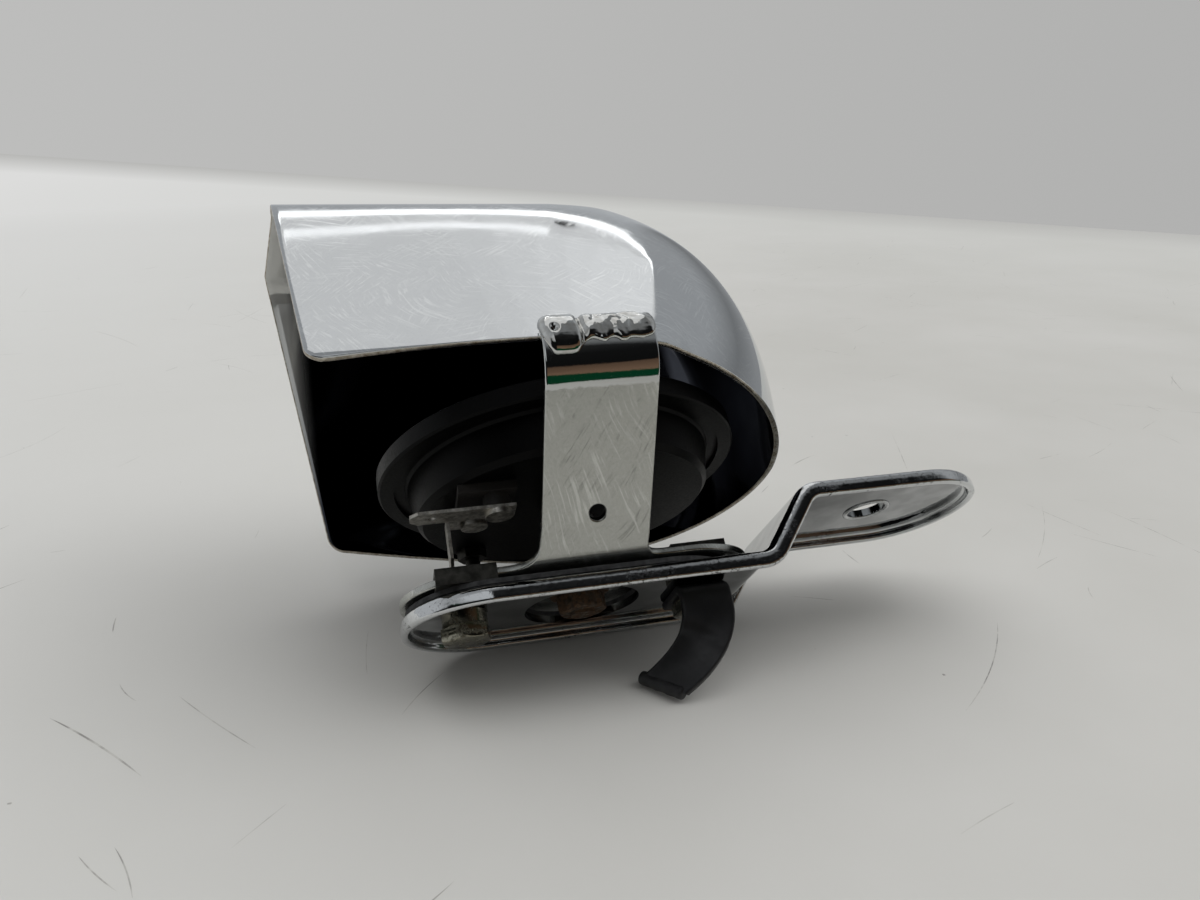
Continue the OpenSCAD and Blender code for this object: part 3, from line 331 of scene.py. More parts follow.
# %% Strap: satin on the flat, bright on the bend
def satin_strap():
    """Chrome dulled by wiping on the flat and still bright on the bend, where the UV map's U is 1."""
    mat, t, place = begin("strap_satin_chrome")
    bend_u = add(t, "SeparateXYZ", {0: add(t, "TexCoord", out="UV")})
    edge = add(t, "TexNoise", {"Vector": place, "Scale": per(1.2), "Detail": 3})
    ragged = add(t, "MapRange", {0: edge, 1: 0.2, 2: 0.8, 3: -0.12, 4: 0.12})
    both = add(t, "Math", {0: bend_u, 1: ragged}, operation="ADD")
    bright = add(t, "MapRange", {0: both, 1: 0.42, 2: 0.58})
    # The strap stands nearly upright, so the hairs are turned within its own plane
    dark_arcs = wiped(t, place, (0, 0.55, 0), (1, 4, 16), 0.0, 0.55, 8, 0.45, 0.60)
    pale_arcs = wiped(t, place, (0, -0.35, 0), (1, 4, 16), 5.0, 0.7, 10, 0.42, 0.60)
    fine = add(t, "TexNoise", {"Vector": place, "Scale": per(0.5), "Detail": 4, "Roughness": 0.65})
    grain = add(t, "MapRange", {0: fine, 1: 0.3, 2: 0.7})
    tone = add(t, "Mix", {0: grain, 6: "#aeafaa", 7: "#bdbeb9"}, **BLEND)
    for part, colour in ((add(t, "MapRange", {0: dark_arcs, 4: 0.55}), "#7d7e7a"),
                         (add(t, "MapRange", {0: pale_arcs, 4: 0.60}), "#dddeda"), (bright, "#c9cbca")):
        tone = add(t, "Mix", {0: part, 6: tone, 7: colour}, **BLEND)
    dents = add(t, "TexNoise", {"Vector": place, "Scale": per(0.9), "Detail": 4, "Roughness": 0.6})
    skin = add(t, "Bump", {"Height": fine, "Distance": 0.004 * MM, "Strength": 0.6})
    return finish(
        mat, Base_Color=tone, Metallic=1.0, Roughness=add(t, "MapRange", {0: bright, 3: 0.27, 4: 0.06}),
        Normal=add(t, "Bump", {"Height": dents, "Distance": 0.018 * MM, "Strength": 0.5, "Normal": skin}))


# %% Bracket: a smooth web, and a lip eaten by pits
def pitted_bracket_with_painted_shade():
    """Bright chrome with rust pits in patches at the lip, where U is 1, and a web whose grey base is painted shade.
    """
    mat, t, place = begin("bracket_pitted_chrome_painted_shade")
    lip_u = add(t, "SeparateXYZ", {0: add(t, "TexCoord", out="UV")})
    edge = add(t, "MapRange", {0: lip_u, 1: 0.0, 2: 0.75})
    spots, pits, waves, cloud, slow = (
        add(t, "TexNoise", {"Vector": place, "Scale": per(size), "Detail": detail, "Roughness": uneven})
        for size, detail, uneven in ((9, 3, 0.6), (0.7, 4, 0.7), (2.2, 3, 0.6), (8, 4, 0.5), (6, 2, 0.5)))
    eaten = add(t, "MapRange", {0: spots, 1: 0.46, 2: 0.62, 3: 0.12, 4: 1.0})
    eaten = add(t, "Math", {0: eaten, 1: edge}, operation="MULTIPLY")
    skin = add(t, "Math", {0: waves, 1: 1.5, 2: pits}, operation="MULTIPLY_ADD")
    skin = add(t, "Math", {0: skin, 1: eaten}, operation="MULTIPLY")
    part = add(t, "MapRange", {0: cloud, 1: 0.4, 2: 0.66})
    lip_part = add(t, "MapRange", {0: edge, 1: 0.2, 2: 0.8})
    deep = add(t, "MapRange", {0: pits, 1: 0.55, 2: 0.63})
    rust = add(t, "Math", {0: deep, 1: eaten}, operation="MULTIPLY")
    # Painted shade: the web's base is grey, in place of the shaded floor that its underside mirrors
    tone = add(t, "Mix", {0: part, 6: "#7e8081", 7: "#9b9d9e"}, **BLEND)
    for share, colour in ((lip_part, "#cfd1d2"), (rust, "#2a2621")):
        tone = add(t, "Mix", {0: share, 6: tone, 7: colour}, **BLEND)
    soft = add(t, "Bump", {"Height": slow, "Distance": 0.04 * MM})
    return finish(
        mat, Base_Color=tone, Metallic=1.0, Roughness=add(t, "MapRange", {0: eaten, 3: 0.05, 4: 0.13}),
        Normal=add(t, "Bump", {"Height": skin, "Distance": 0.07 * MM, "Strength": 0.9, "Normal": soft}))


# %% Every finish by its slot
FINISH = {
    # Bright chrome on the cover's outer face: it mirrors the room, a little hazy
    "chrome": chrome_cover(),
    # The same chrome rubbed satin: a soft grey sheen beside the mirror
    "satin_chrome": satin_strap(),
    # Melted steel plated with the rest: as bright as the cover, so the bead reads by its highlights
    "weld": metal("weld_plated_bead", "#d4d6d5", "#bdbcb8", 0.045, 0.9, 0.008, 2.5, 0.015),
    # Chrome left out in the wet, its lip broken up by brown pits; the web's grey tone is painted shade
    "chrome_bracket": pitted_bracket_with_painted_shade(),
    # Moulded rubber: matt and nearly black, with a coarse grain
    "rubber": dull("pad_moulded_rubber", "#3a3b3c", "#1a1b1c", 0.72, 0.45, 0.10, 2.0),
    # Yellow zinc plating gone grey: a warm dull metal with rust beginning
    "yellow_zinc": rusty("bolt_yellow_zinc", "#9a9788", "#55503c", "#2c271e", 0.10, 0.34, 0.03),
    # Zinc plating with white bloom: grey and half matt
    "aged_zinc": metal("screw_aged_zinc", "#3c3b37", "#24221f", 0.45, 0.4, 0.02, 2.0),
    # Rolled steel without plating: soft wide highlights
    "dull_steel": metal("washer_dull_steel", "#8f9190", "#686a68", 0.38, 0.5, 0.015, 3.0),
    # Steel blackened in oil: dark, with a low sheen at the edges
    "dark_steel": metal("nut_oil_blackened_steel", "#5f5e59", "#3a3936", 0.44, 0.5, 0.03, 3.0),
    # Dipped vinyl: black, smooth, with broad soft highlights
    "black_coating": dull("clip_dipped_vinyl", "#19191b", "#0f0f11", 0.42, 0.9, 0.02, 4.0),
    # Stoved enamel, dusty: black darkened beyond the enamel's own as painted shade, for the shadow the cover casts
    # over the horn; it lifts only where it faces the light
    "black_paint": dull("horn_enamel_painted_shade", "#040404", "#020202", 0.40, 0.6, 0.02, 8.0, Specular_IOR_Level=0.08),
    # Pressed paper: brown grey and quite matt
    "gasket": dull("gasket_pressed_paper", "#3c3833", "#2c2925", 0.85, 0.4, 0.03),
    # Machined steel, kept dry: clean grey metal
    "plain_steel": metal("inner_machined_steel", "#9b9d9e", "#7c7e80", 0.33, 0.5, 0.012, 6.0),
    # Vulcanised fibre: nearly black board, half matt
    "fibre": dull("board_vulcanised_fibre", "#1d1915", "#12100e", 0.70, 0.5, 0.03, 3.0),
    # Enamelled copper wire: orange metal
    "copper": metal("winding_enamelled_copper", "#b4693a", "#8a4823", 0.32, 0.5, 0.03, 4.0),
    # Rolled brass spring: yellow metal with a soft sheen
    "brass": metal("breaker_rolled_brass", "#b99a5a", "#93773f", 0.34, 0.5, 0.015, 4.0),
    # Tungsten points: pale hard metal, ground flat
    "contact_metal": metal("contact_ground_tungsten", "#b9babb", "#8d8e90", 0.30, 0.4, 0.01, 1.5),
    # Tinned brass gone dull, with warm dark stains; its pale grey base is raised as painted light, since the cover
    # shades the terminals
    "tinned_brass": metal("terminal_tinned_brass_painted_light", "#d3d0c8", "#8d8981", 0.42, 0.45, 0.05, 1.6, 0.12),
    # Bare steel in the wet: brown crust with little steel left
    "rusty_steel": rusty("stud_rusty_steel", "#5d564d", "#5a4128", "#2a1d12", 0.24, 0.55),
}
slots = {part["node"]: part["material_slot"] for part in frame["record"]["subparts"]}
for node, part in frame["nodes"].items():
    part.data.materials.clear()
    part.data.materials.append(FINISH[slots[node]])
print("finishes", len(FINISH), "on", len(slots), "nodes")

# %% [markdown]
# ## The cover
#
# One sheet: two flat walls that close into a dome at the right, a rounded front edge, and an
# open mouth at the left. Level by level from the rim, a superellipse gives the dome's plan.

# %% Cover: its outline, from the CAD model's own sizes
RIM_HALF, MOUTH_HALF, FRONT_HALF = 54.6, 44.7, 18.0
DEPTH, REACH, RAKE, FAR_RAKE, FALL = 85.6, 61.0, 16.5, 4.5, 6.0
DOME_START, DOME_REACH, DOME_CLOSE, DOME_POWER = 2.0, 59.3, 1.0, 2.3
PLAN_RIM, PLAN_FRONT = 1.85, 4.0
FRONT_ROUND, CORNER_ROUND, WALL = 6.0, 4.0, 1.3
TIP, TURN, SHIFT = math.radians(8.3), math.radians(5.7), 1.5
CROWN, CROWN_FROM = 1.7, 5.0
CREASE_HIGH, CREASE_WIDE, CREASE_TOP = 0.85, 7.0, 46.0
WALL_SLOPE = math.atan((RIM_HALF - FRONT_HALF) / DEPTH)


def crown(z):
    """How far the wall bulges outwards: nothing at the rim, most at two thirds of its height."""
    t = max(0.0, (z - CROWN_FROM) / (DEPTH - CROWN_FROM))
    return CROWN * 2.6 * (t ** 1.5 - t ** 4.5)


def crease(x, z):
    """A pressed ridge on the near wall, where the flat wall turns into the dome."""
    middle = 18.6 + 0.125 * z
    fade = max(0.0, min(1.0, (CREASE_TOP + 12 - z) / 16))
    return CREASE_HIGH * fade * max(0.0, 1 - abs(x - middle) / CREASE_WIDE)


def cover_point(z, side, s, wall, r):
    """A point of one face: side -1 or 1 with s from the dome (0) to the mouth (1), or 0 and a dome angle."""
    inset = 0.0
    if z > DEPTH - FRONT_ROUND:
        inset = r - math.sqrt(max(0.0, r * r - ((z - DEPTH + FRONT_ROUND) * r / FRONT_ROUND) ** 2))
    half = RIM_HALF - (RIM_HALF - FRONT_HALF) * z / DEPTH - wall - inset + crown(z)
    if side:
        mouth = REACH + (RAKE + (FAR_RAKE if side > 0 else 0)) * z / DEPTH
        if z < CORNER_ROUND:
            mouth -= CORNER_ROUND - math.sqrt(CORNER_ROUND ** 2 - (CORNER_ROUND - z) ** 2)
        bulge = (RIM_HALF - MOUTH_HALF) * (1 - z / DEPTH) * s ** 1.5
        x, y, fall = DOME_START - (DOME_START + mouth) * s, side * (half - bulge), -FALL * s * (z / DEPTH)
    else:
        reach = DOME_REACH * (1 - (z / (DEPTH + DOME_CLOSE)) ** DOME_POWER) ** (1 / DOME_POWER) - wall - inset
        power = 2 / (PLAN_RIM + (PLAN_FRONT - PLAN_RIM) * z / DEPTH)
        c, n = math.cos(s), math.sin(s)
        x = DOME_START + reach * math.copysign(abs(c) ** power, c)
        y, fall = half * math.copysign(abs(n) ** power, n), 0.0
    if y < 0:
        y -= crease(x, z)
    top = DEPTH - FRONT_ROUND
    level = top + (z - top) * r / FRONT_ROUND if z > top else z
    return Vector((x, y, level + fall))


def over_horn(p):
    """Tips and turns a point of the cover to where the cover sits over the horn."""
    x, y, z = p
    y, z = y * math.cos(TIP) + z * math.sin(TIP), z * math.cos(TIP) - y * math.sin(TIP)
    x, z = x * math.cos(TURN) + z * math.sin(TURN), z * math.cos(TURN) - x * math.sin(TURN)
    return Vector((x, y + SHIFT, z))


print("the walls lean", round(math.degrees(WALL_SLOPE), 1), "degrees towards each other")

# %% Cover shell: two grids, the front between them, and a rounded cut edge
SIDE_STEPS, DOME_STEPS, FRONT_STEPS, EDGE_STEPS, EDGE_R = 40, 120, 10, 5, 0.35
marks = [(-1, 1 - k / SIDE_STEPS) for k in range(SIDE_STEPS)]
marks += [(0, -math.pi / 2 + math.pi * k / DOME_STEPS) for k in range(DOME_STEPS + 1)]
marks += [(1, (k + 1) / SIDE_STEPS) for k in range(SIDE_STEPS)]
COLS = len(marks)
heights = [CORNER_ROUND * (1 - c) for c, s in arc(8)]
heights += [CORNER_ROUND + (DEPTH - FRONT_ROUND - CORNER_ROUND) * k / 40 for k in range(1, 41)]
heights += [DEPTH - FRONT_ROUND * (1 - s) for c, s in arc(14)[1:]]
TOP = len(heights) - 1


def build_cover():
    """The cover as one closed sheet, and for each face whether it looks outwards (0), inwards (1) or is cut (2)."""
    half = COLS // 2
    verts, faces, kind, index = [], [], [], {}

    def vert(key, p):
        index[key] = len(verts)
        verts.append(p)

    def quad(keys, finish_number):
        ids = [index[k] for k in keys]
        if len(set(ids)) > 2:
            faces.append(ids)
            kind.append(finish_number)

    grids = {}
    for skin, wall in (("o", 0.0), ("i", WALL)):
        slant = wall / math.cos(WALL_SLOPE)
        grid = [[over_horn(cover_point(z, side, s, slant, FRONT_ROUND - wall)) for side, s in marks] for z in heights]
        grids[skin] = grid
        for j, line in enumerate(grid):
            for i, p in enumerate(line):
                vert((skin, j, i), p)
        # The front goes across from the near wall to the far one
        last = grid[-1]
        for i in range(half):
            for m in range(1, FRONT_STEPS):
                vert((skin, "f", i, m), last[i].lerp(last[COLS - 1 - i], m / FRONT_STEPS))
        for i in range(half):
            index[(skin, "f", i, 0)] = index[(skin, TOP, i)]
            index[(skin, "f", i, FRONT_STEPS)] = index[(skin, TOP, COLS - 1 - i)]
        for m in range(FRONT_STEPS + 1):
            index[(skin, "f", half, m)] = index[(skin, TOP, half)]
        for j in range(TOP):
            for i in range(COLS - 1):
                quad([(skin, j, i), (skin, j + 1, i), (skin, j + 1, i + 1), (skin, j, i + 1)], skin == "i")
        for i in range(half):
            for m in range(FRONT_STEPS):
                quad([(skin, "f", i, m), (skin, "f", i, m + 1), (skin, "f", i + 1, m + 1), (skin, "f", i + 1, m)],
                     skin == "i")
    outer = grids["o"]
    # The border of both faces: along the rim, up the mouth, across the front's end, and down
    rim = [(0, i) for i in range(COLS)] + [(j, COLS - 1) for j in range(1, TOP + 1)]
    rim += [("f", 0, m) for m in range(FRONT_STEPS - 1, 0, -1)] + [(j, 0) for j in range(TOP, 0, -1)]

    def out_way(k):
        """Direction in which the sheet ends: down at the rim, out at the mouth."""
        if k[0] == 0:
            down_way = (outer[0][k[1]] - outer[3][k[1]]).normalized()
            if 0 < k[1] < COLS - 1:
                return down_way
            beside = outer[0][1 if k[1] == 0 else COLS - 2]
            return (down_way + (outer[0][k[1]] - beside).normalized()).normalized()
        i = 0 if k[0] == "f" or k[1] == 0 else COLS - 1
        j = TOP if k[0] == "f" else k[0]
        return (outer[j][i] - outer[j][i + (1 if i == 0 else -1)]).normalized()

    for n, k in enumerate(rim):
        a, b = verts[index[("o",) + k]], verts[index[("i",) + k]]
        for q in range(1, EDGE_STEPS):
            t = math.pi * q / EDGE_STEPS
            vert(("e", n, q), (a + b) / 2 + (a - b) / 2 * math.cos(t) + out_way(k) * EDGE_R * (math.sin(t) - 1))
        index[("e", n, 0)], index[("e", n, EDGE_STEPS)] = index[("o",) + k], index[("i",) + k]
    # Both borders are drawn back a little, so that the rounded edge ends on the real size
    for k in rim:
        for skin in "oi":
            verts[index[(skin,) + k]] = verts[index[(skin,) + k]] - out_way(k) * EDGE_R
    for n in range(len(rim)):
        after = (n + 1) % len(rim)
        for q in range(EDGE_STEPS):
            quad([("e", n, q), ("e", n, q + 1), ("e", after, q + 1), ("e", after, q)], 2 if q > 0 else 0)
    return make("cover_chrome", verts, faces), kind


cover, kind = build_cover()
# Recalculated faces keep their order, so the list still fits
if len(kind) != len(cover.data.polygons):
    raise RuntimeError(f"{len(kind)} marks for {len(cover.data.polygons)} faces")
# The sheared edge was plated thinly: pale steel with brown beginning in it
edge_finish = metal("cover_sheared_edge", "#c3beb2", "#857a6a", 0.30, 0.35, 0.05, 1.6)
for material in (FINISH["chrome"], inside_painted_shade_and_light(), edge_finish):
    cover.data.materials.append(material)
cover.data.polygons.foreach_set("material_index", [int(number) for number in kind])
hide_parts("cover_shell")
print("cover", len(cover.data.polygons), "faces")

# %% [markdown]
# ## Bent strips
#
# The strap and the bracket are strips bent in a press. A path of straight runs joined by round
# corners describes such a bend from the side, and each point of a flat strip goes to a length
# along that path and a depth below it. It could be bent with a Curve modifier, but a path keeps
# the thickness exact at the corners.

# %% Bent paths
def bend(a, p, b, r, steps=16):
    """Points of a round corner at p, between straight runs from a and to b."""
    u, v = (a - p).normalized(), (b - p).normalized()
    half = math.acos(max(-1, min(1, u.dot(v)))) / 2
    centre = p + (u + v).normalized() * r / math.sin(half)
    start = p + u * r / math.tan(half) - centre
    side = 1 if (p - a).x * (b - p).y - (p - a).y * (b - p).x > 0 else -1
    return [centre + Vector((start.x * c - start.y * s, start.x * s + start.y * c))
            for c, s in arc(steps, side * (math.pi - 2 * half))]


class Path:
    """Straight runs with round corners: the length along them, and the normal to their right."""
    def __init__(self, corners, radii):
        corners = [Vector(p) for p in corners]
        points = [corners[0]]
        for i, r in enumerate(radii):
            points += bend(*corners[i:i + 3], r)
        self.points = points = points + [corners[-1]]
        self.along = [0.0]
        for a, b in zip(points, points[1:]):
            self.along.append(self.along[-1] + (b - a).length)
        ways = [(b - a).normalized() for a, b in zip(points, points[1:])]
        self.ways = [ways[0]] + [(a + b).normalized() for a, b in zip(ways, ways[1:])] + [ways[-1]]

    def at(self, s, depth):
        """The point at length s along the path and a depth below it."""
        s = max(0.0, min(self.along[-1], s))
        i = next((i for i in range(len(self.along) - 1) if s <= self.along[i + 1]), len(self.along) - 2)
        t = (s - self.along[i]) / max(1e-9, self.along[i + 1] - self.along[i])
        way = self.ways[i].lerp(self.ways[i + 1], t).normalized()
        return self.points[i].lerp(self.points[i + 1], t) + Vector((way.y, -way.x)) * depth


print("a corner of 90 degrees has", len(bend(Vector((0, 0)), Vector((9, 0)), Vector((9, 9)), 3)), "points")

# %% [markdown]
# ## Strap and foot plate
#
# The real strap is stamped flat, with fillets where it widens into the foot plate, and then
# bent twice. It is made here in the same order: a flat outline with its holes, filled as a 2D
# curve with a rounded edge, cut across where it bends, and laid along the path. A UV map marks
# the bend at the rim, where the plating stayed bright.

# %% Strap: its sizes and its path
STRAP_W, STRAP_T, STRAP_X, FOOT_X = 25.8, 2.0, 2.9, 0.6
PLATE_TOP, FOOT_HALF, FOOT_REACH, FOOT_CORNER = -32.2, 19.0, 25.5, 20.0
# The strap laps the cover's wall, a little off it, and bends at the rim and at the foot
LAP, GAP, RIM_R, FOOT_R = 4.0, 0.1, 9.0, 7.0
BOLT_X, BOLT_HOLE_R, STUD_HOLE_R, STRAP_HOLE_R, STRAP_HOLE_UP = 29.4, 3.4, 3.475, 2.0, 11.8
rim = over_horn((STRAP_X, -RIM_HALF, 0))
rim_near = Vector((rim.y, rim.z))
slope = WALL_SLOPE + TIP
wall_way = Vector((math.sin(slope), math.cos(slope)))
wall_out = Vector((-math.cos(slope), math.sin(slope)))
strap_angle = math.atan2(rim_near.y - PLATE_TOP, -FOOT_CORNER - rim_near.x)
rim_turn = math.pi - strap_angle - (math.pi / 2 - slope)
rim_corner = rim_near + wall_out * GAP - wall_way * (RIM_R * math.tan(rim_turn / 2))
lap_end = rim_near + wall_out * GAP + wall_way * LAP
strap_path = Path([lap_end, rim_corner, (-FOOT_CORNER, PLATE_TOP), (FOOT_HALF - 1, PLATE_TOP)], [RIM_R, FOOT_R])
# Length along the path at which Y is zero on the foot plate
zero = strap_path.along[-1] - (FOOT_HALF - 1)
print("strap path", round(strap_path.along[-1], 1), "mm long")


# %% Strap: cut flat, then bent
def strap_mid(z):
    """X of the strap's middle line, which leans a little from the foot to the rim."""
    return FOOT_X + (STRAP_X - FOOT_X) * (z - PLATE_TOP) / (rim_near.y - PLATE_TOP)


def flat_plate(name, lines, thick, edge):
    """A flat plate with rounded edges from its outline and holes, its middle at zero height."""
    curve = bpy.data.curves.new(name, "CURVE")
    curve.dimensions, curve.fill_mode, curve.bevel_resolution = "2D", "BOTH", 3
    curve.extrude, curve.bevel_depth, curve.offset = (thick / 2 - edge) * MM, edge * MM, -edge * MM
    for line in lines:
        spline = curve.splines.new("POLY")
        spline.points.add(len(line) - 1)
        spline.use_cyclic_u = True
        for point, (x, y) in zip(spline.points, line):
            point.co = (x * MM, y * MM, 0, 1)
    piece = linked(name, curve)
    bpy.context.view_layer.update()
    mesh = bpy.data.meshes.new_from_object(piece.evaluated_get(bpy.context.evaluated_depsgraph_get()))
    bpy.data.objects.remove(piece)
    bm = bmesh.new()
    bm.from_mesh(mesh)
    bpy.data.meshes.remove(mesh)
    bmesh.ops.remove_doubles(bm, verts=bm.verts, dist=1e-6)
    return bm


def circle(x, y, r):
    """A hole's outline."""
    return [(x + r * c, y + r * s) for c, s in arc(64, 2 * math.pi)[:-1]]


def fillet(corner, way, size, across, steps=10):
    """A concave corner from size along the way to size across it."""
    return [(corner[0] + way * size * (1 - k / steps) ** 2, corner[1] - across * (k / steps) ** 2)
            for k in range(steps + 1)]


def build_strap():
    """The strap and its foot plate: v is Y on the foot plate, and runs on along the path up the riser."""
    half, low, steps = STRAP_W / 2, -zero, 24

    def mid_at(v):
        return strap_mid(strap_path.at(zero + v, 0).y)

    def side_line(way, start, end):
        return [(mid_at(v) + way * half, v) for v in (start + (end - start) * k / steps for k in range(steps + 1))]

    foot = mid_at(-FOOT_HALF)
    left_foot = fillet((foot - half, -FOOT_HALF), -1, 9.4, 6.5)
    right_foot = fillet((foot + half, -FOOT_HALF), 1, 4.5, 3.5)[::-1]
    outline = left_foot + side_line(-1, -FOOT_HALF - 7, low)[1:] + side_line(1, low, -FOOT_HALF - 4)[:-1] + right_foot
    for way in (1, -1):
        outline += [(way * (FOOT_REACH + FOOT_HALF * s), -way * FOOT_HALF * c) for c, s in arc(40, math.pi)]
    tangent = FOOT_R * math.tan(strap_angle / 2)
    hole_v = -FOOT_CORNER + tangent - FOOT_R * strap_angle - (STRAP_HOLE_UP - tangent)
    holes = [circle(mid_at(hole_v), hole_v, STRAP_HOLE_R), circle(-BOLT_X, 0, BOLT_HOLE_R),
             circle(BOLT_X, 0, BOLT_HOLE_R), circle(0, 0, STUD_HOLE_R)]
    bm = flat_plate("strap", [outline] + holes, STRAP_T, 0.45)
    # Cut lines for the bends
    v = low + 0.4
    while v < -FOOT_HALF + 6:
        bmesh.ops.bisect_plane(bm, geom=bm.verts[:] + bm.edges[:] + bm.faces[:], plane_co=(0, v * MM, 0),
                               plane_no=(0, 1, 0), dist=1e-7)
        v += 0.7
    verts, along = [], []
    for vert in bm.verts:
        x, v, d = vert.co.x / MM, vert.co.y / MM, STRAP_T / 2 - vert.co.z / MM
        place = Vector((v, PLATE_TOP - d)) if v > -FOOT_HALF + 8 else strap_path.at(zero + v, d)
        verts.append((x, place.x, place.y))
        along.append(v)
    faces = [[vert.index for vert in face.verts] for face in bm.faces]
    bm.free()
    piece = by_angle(make("strap_and_foot", verts, faces), 40)
    # U runs from 0 on the flat to 1 on the bend at the rim
    turn_end = low + LAP + RIM_R * rim_turn + 1.0
    layer = piece.data.uv_layers.new(name="bend")
    for loop in piece.data.loops:
        layer.data[loop.index].uv = (max(0.0, min(1.0, 0.5 + (turn_end - along[loop.vertex_index]) / 3.0)), 0.0)
    piece.data.materials.append(FINISH["satin_chrome"])
    return piece


strap = build_strap()
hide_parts("cover_strap")
print("strap", len(strap.data.polygons), "faces")

# %% [markdown]
# ## Weld
#
# The bead that joins the strap to the cover was melted in two goes: a heavy blob with a pinhole
# at the left, and a wandering bead to the right. Metaballs could give such lumps, but a height
# over the surface below keeps the bead seated: it is zero at the bead's edge, round across it,
# and slow noise swells it along its run.

# %% Weld bead
BEAD_SPAN, BEAD_MID, BEAD_HALF, BEAD_HIGH = 0.5, 2.3, 5.0, 1.6
BLOB_AT, BLOB_HALF, BLOB_HIGH, BLOB_DOWN = 4.5, 5.9, 2.3, 1.5
PINHOLE_X, PINHOLE_S, PINHOLE_R, PINHOLE_DEEP = 3.0, 5.2, 0.7, 1.3
NECK_X, NECK_DEEP, ROOT_DEEP = 9.3, 0.8, 0.5


def under_bead(s):
    """The surface below the bead, from the wall above the strap's end (s below 0) down over the strap."""
    wall = rim_near + wall_way * (LAP - s)
    strap_skin = strap_path.at(max(0.0, s), STRAP_T)
    t = max(0.0, min(1.0, (s + 1.6) / 2.4))
    return wall.lerp(strap_skin, t * t * (3 - 2 * t)) if s < 0.8 else strap_skin


def slow_noise(*at):
    """Smooth noise between about -1 and 1 at a place."""
    return noise.noise(Vector(at))


def build_weld():
    """A smooth melted bead over the strap's end: a height over the surface, with a heavy blob at its left."""
    middle, reach = strap_mid(lap_end.y), STRAP_W / 2 + BEAD_SPAN
    x0, x1 = middle - reach, middle + reach
    rows, cols = 260, 56
    verts = []
    for j in range(rows + 1):
        x = x0 + (x1 - x0) * j / rows
        inner = min(1.0, min(x - x0, x1 - x) / 3.0)
        end = max(0.06, math.sqrt(max(0.0, 1 - (1 - inner) ** 2)))
        blob = math.exp(-((x - x0 - BLOB_AT) / 4.4) ** 6)
        mid = BEAD_MID + BLOB_DOWN * blob + 0.9 * slow_noise(x * 0.22, 0.7, 5.0) * (1 - blob)
        half = (BEAD_HALF + (BLOB_HALF - BEAD_HALF) * blob + 0.9 * slow_noise(x * 0.40, 4.2, 1.0) * (1 - blob)) * end
        # The bead narrows to a neck beside the blob
        neck = math.exp(-((x - x0 - NECK_X) / 0.8) ** 2)
        high = (BEAD_HIGH + (BLOB_HIGH - BEAD_HIGH) * blob - NECK_DEEP * neck) * end
        skin, root = [], []
        for k in range(cols + 1):
            u = 2 * k / cols - 1
            s = mid + u * half
            at, ahead = under_bead(s), under_bead(s + 0.05)
            way = (ahead - at).normalized()
            normal = Vector((way.y, -way.x))
            swell = 0.55 * slow_noise(x * 0.33, s * 0.30, 3.0) + 0.18 * slow_noise(x * 0.8, s * 0.7, 8.0)
            h = (high + swell * end * (1 - 0.7 * blob)) * math.sqrt(max(0.0, 1 - u * u))
            hollow = math.exp(-(((x - x0 - PINHOLE_X) ** 2 + (s - PINHOLE_S) ** 2) / PINHOLE_R ** 2))
            p, q = at + normal * (max(0.02, h) - PINHOLE_DEEP * hollow), at - normal * ROOT_DEEP
            skin.append((x, p.x, p.y))
            root.append((x, q.x, q.y))
        verts += skin + root[::-1]
    piece = make("weld_bead", verts, ring_faces(rows + 1, 2 * (cols + 1)))
    piece.data.materials.append(FINISH["weld"])
    return piece


weld = build_weld()
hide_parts("weld_beads")
print("weld", len(weld.data.polygons), "faces")

# %% [markdown]
# ## Bracket
#
# The bracket is one pressing: a web with round ends, a lip turned down all the way round, and a
# Z bend. Its section, from the web over the outer round and back under the lip, is swept round
# the long outline, each point is laid along the bent path, and the holes are drilled last. The
# UV map's U is one on the lip, so the finish knows where the pits are.

# %% Bracket: its section swept round a long outline, then drilled
# The spring nut's leaf and the rubber pad lie between the foot plate and the web
LEAF_T, PAD_T = 1.0, 1.2
WEB_TOP = PLATE_TOP - STRAP_T - LEAF_T - PAD_T
BRACKET_R, BRACKET_T, LIP = 22.25, 2.0, 4.6
# Radii of the section: over the lip's outer round, round its tip, and inside it
OUTER_R, TIP_R, INNER_R = 2.4, 0.9, 1.0
PLAIN_END, HOLE_X, END_X, JOGGLE_X = -22.7, 84.4, 92.4, 43.4752
JOGGLE_H, JOGGLE_RUN, JOGGLE_R = 16.5, 13.5, 4.0
MOUNT_HOLE_R, WINDOW_R = 5.2, 14.5
end_top = WEB_TOP + JOGGLE_H
bracket_path = Path([(PLAIN_END - BRACKET_R - 1, WEB_TOP), (JOGGLE_X, WEB_TOP), (JOGGLE_X + JOGGLE_RUN, end_top),
                     (END_X + BRACKET_R + 1, end_top)], [JOGGLE_R, JOGGLE_R + LIP])


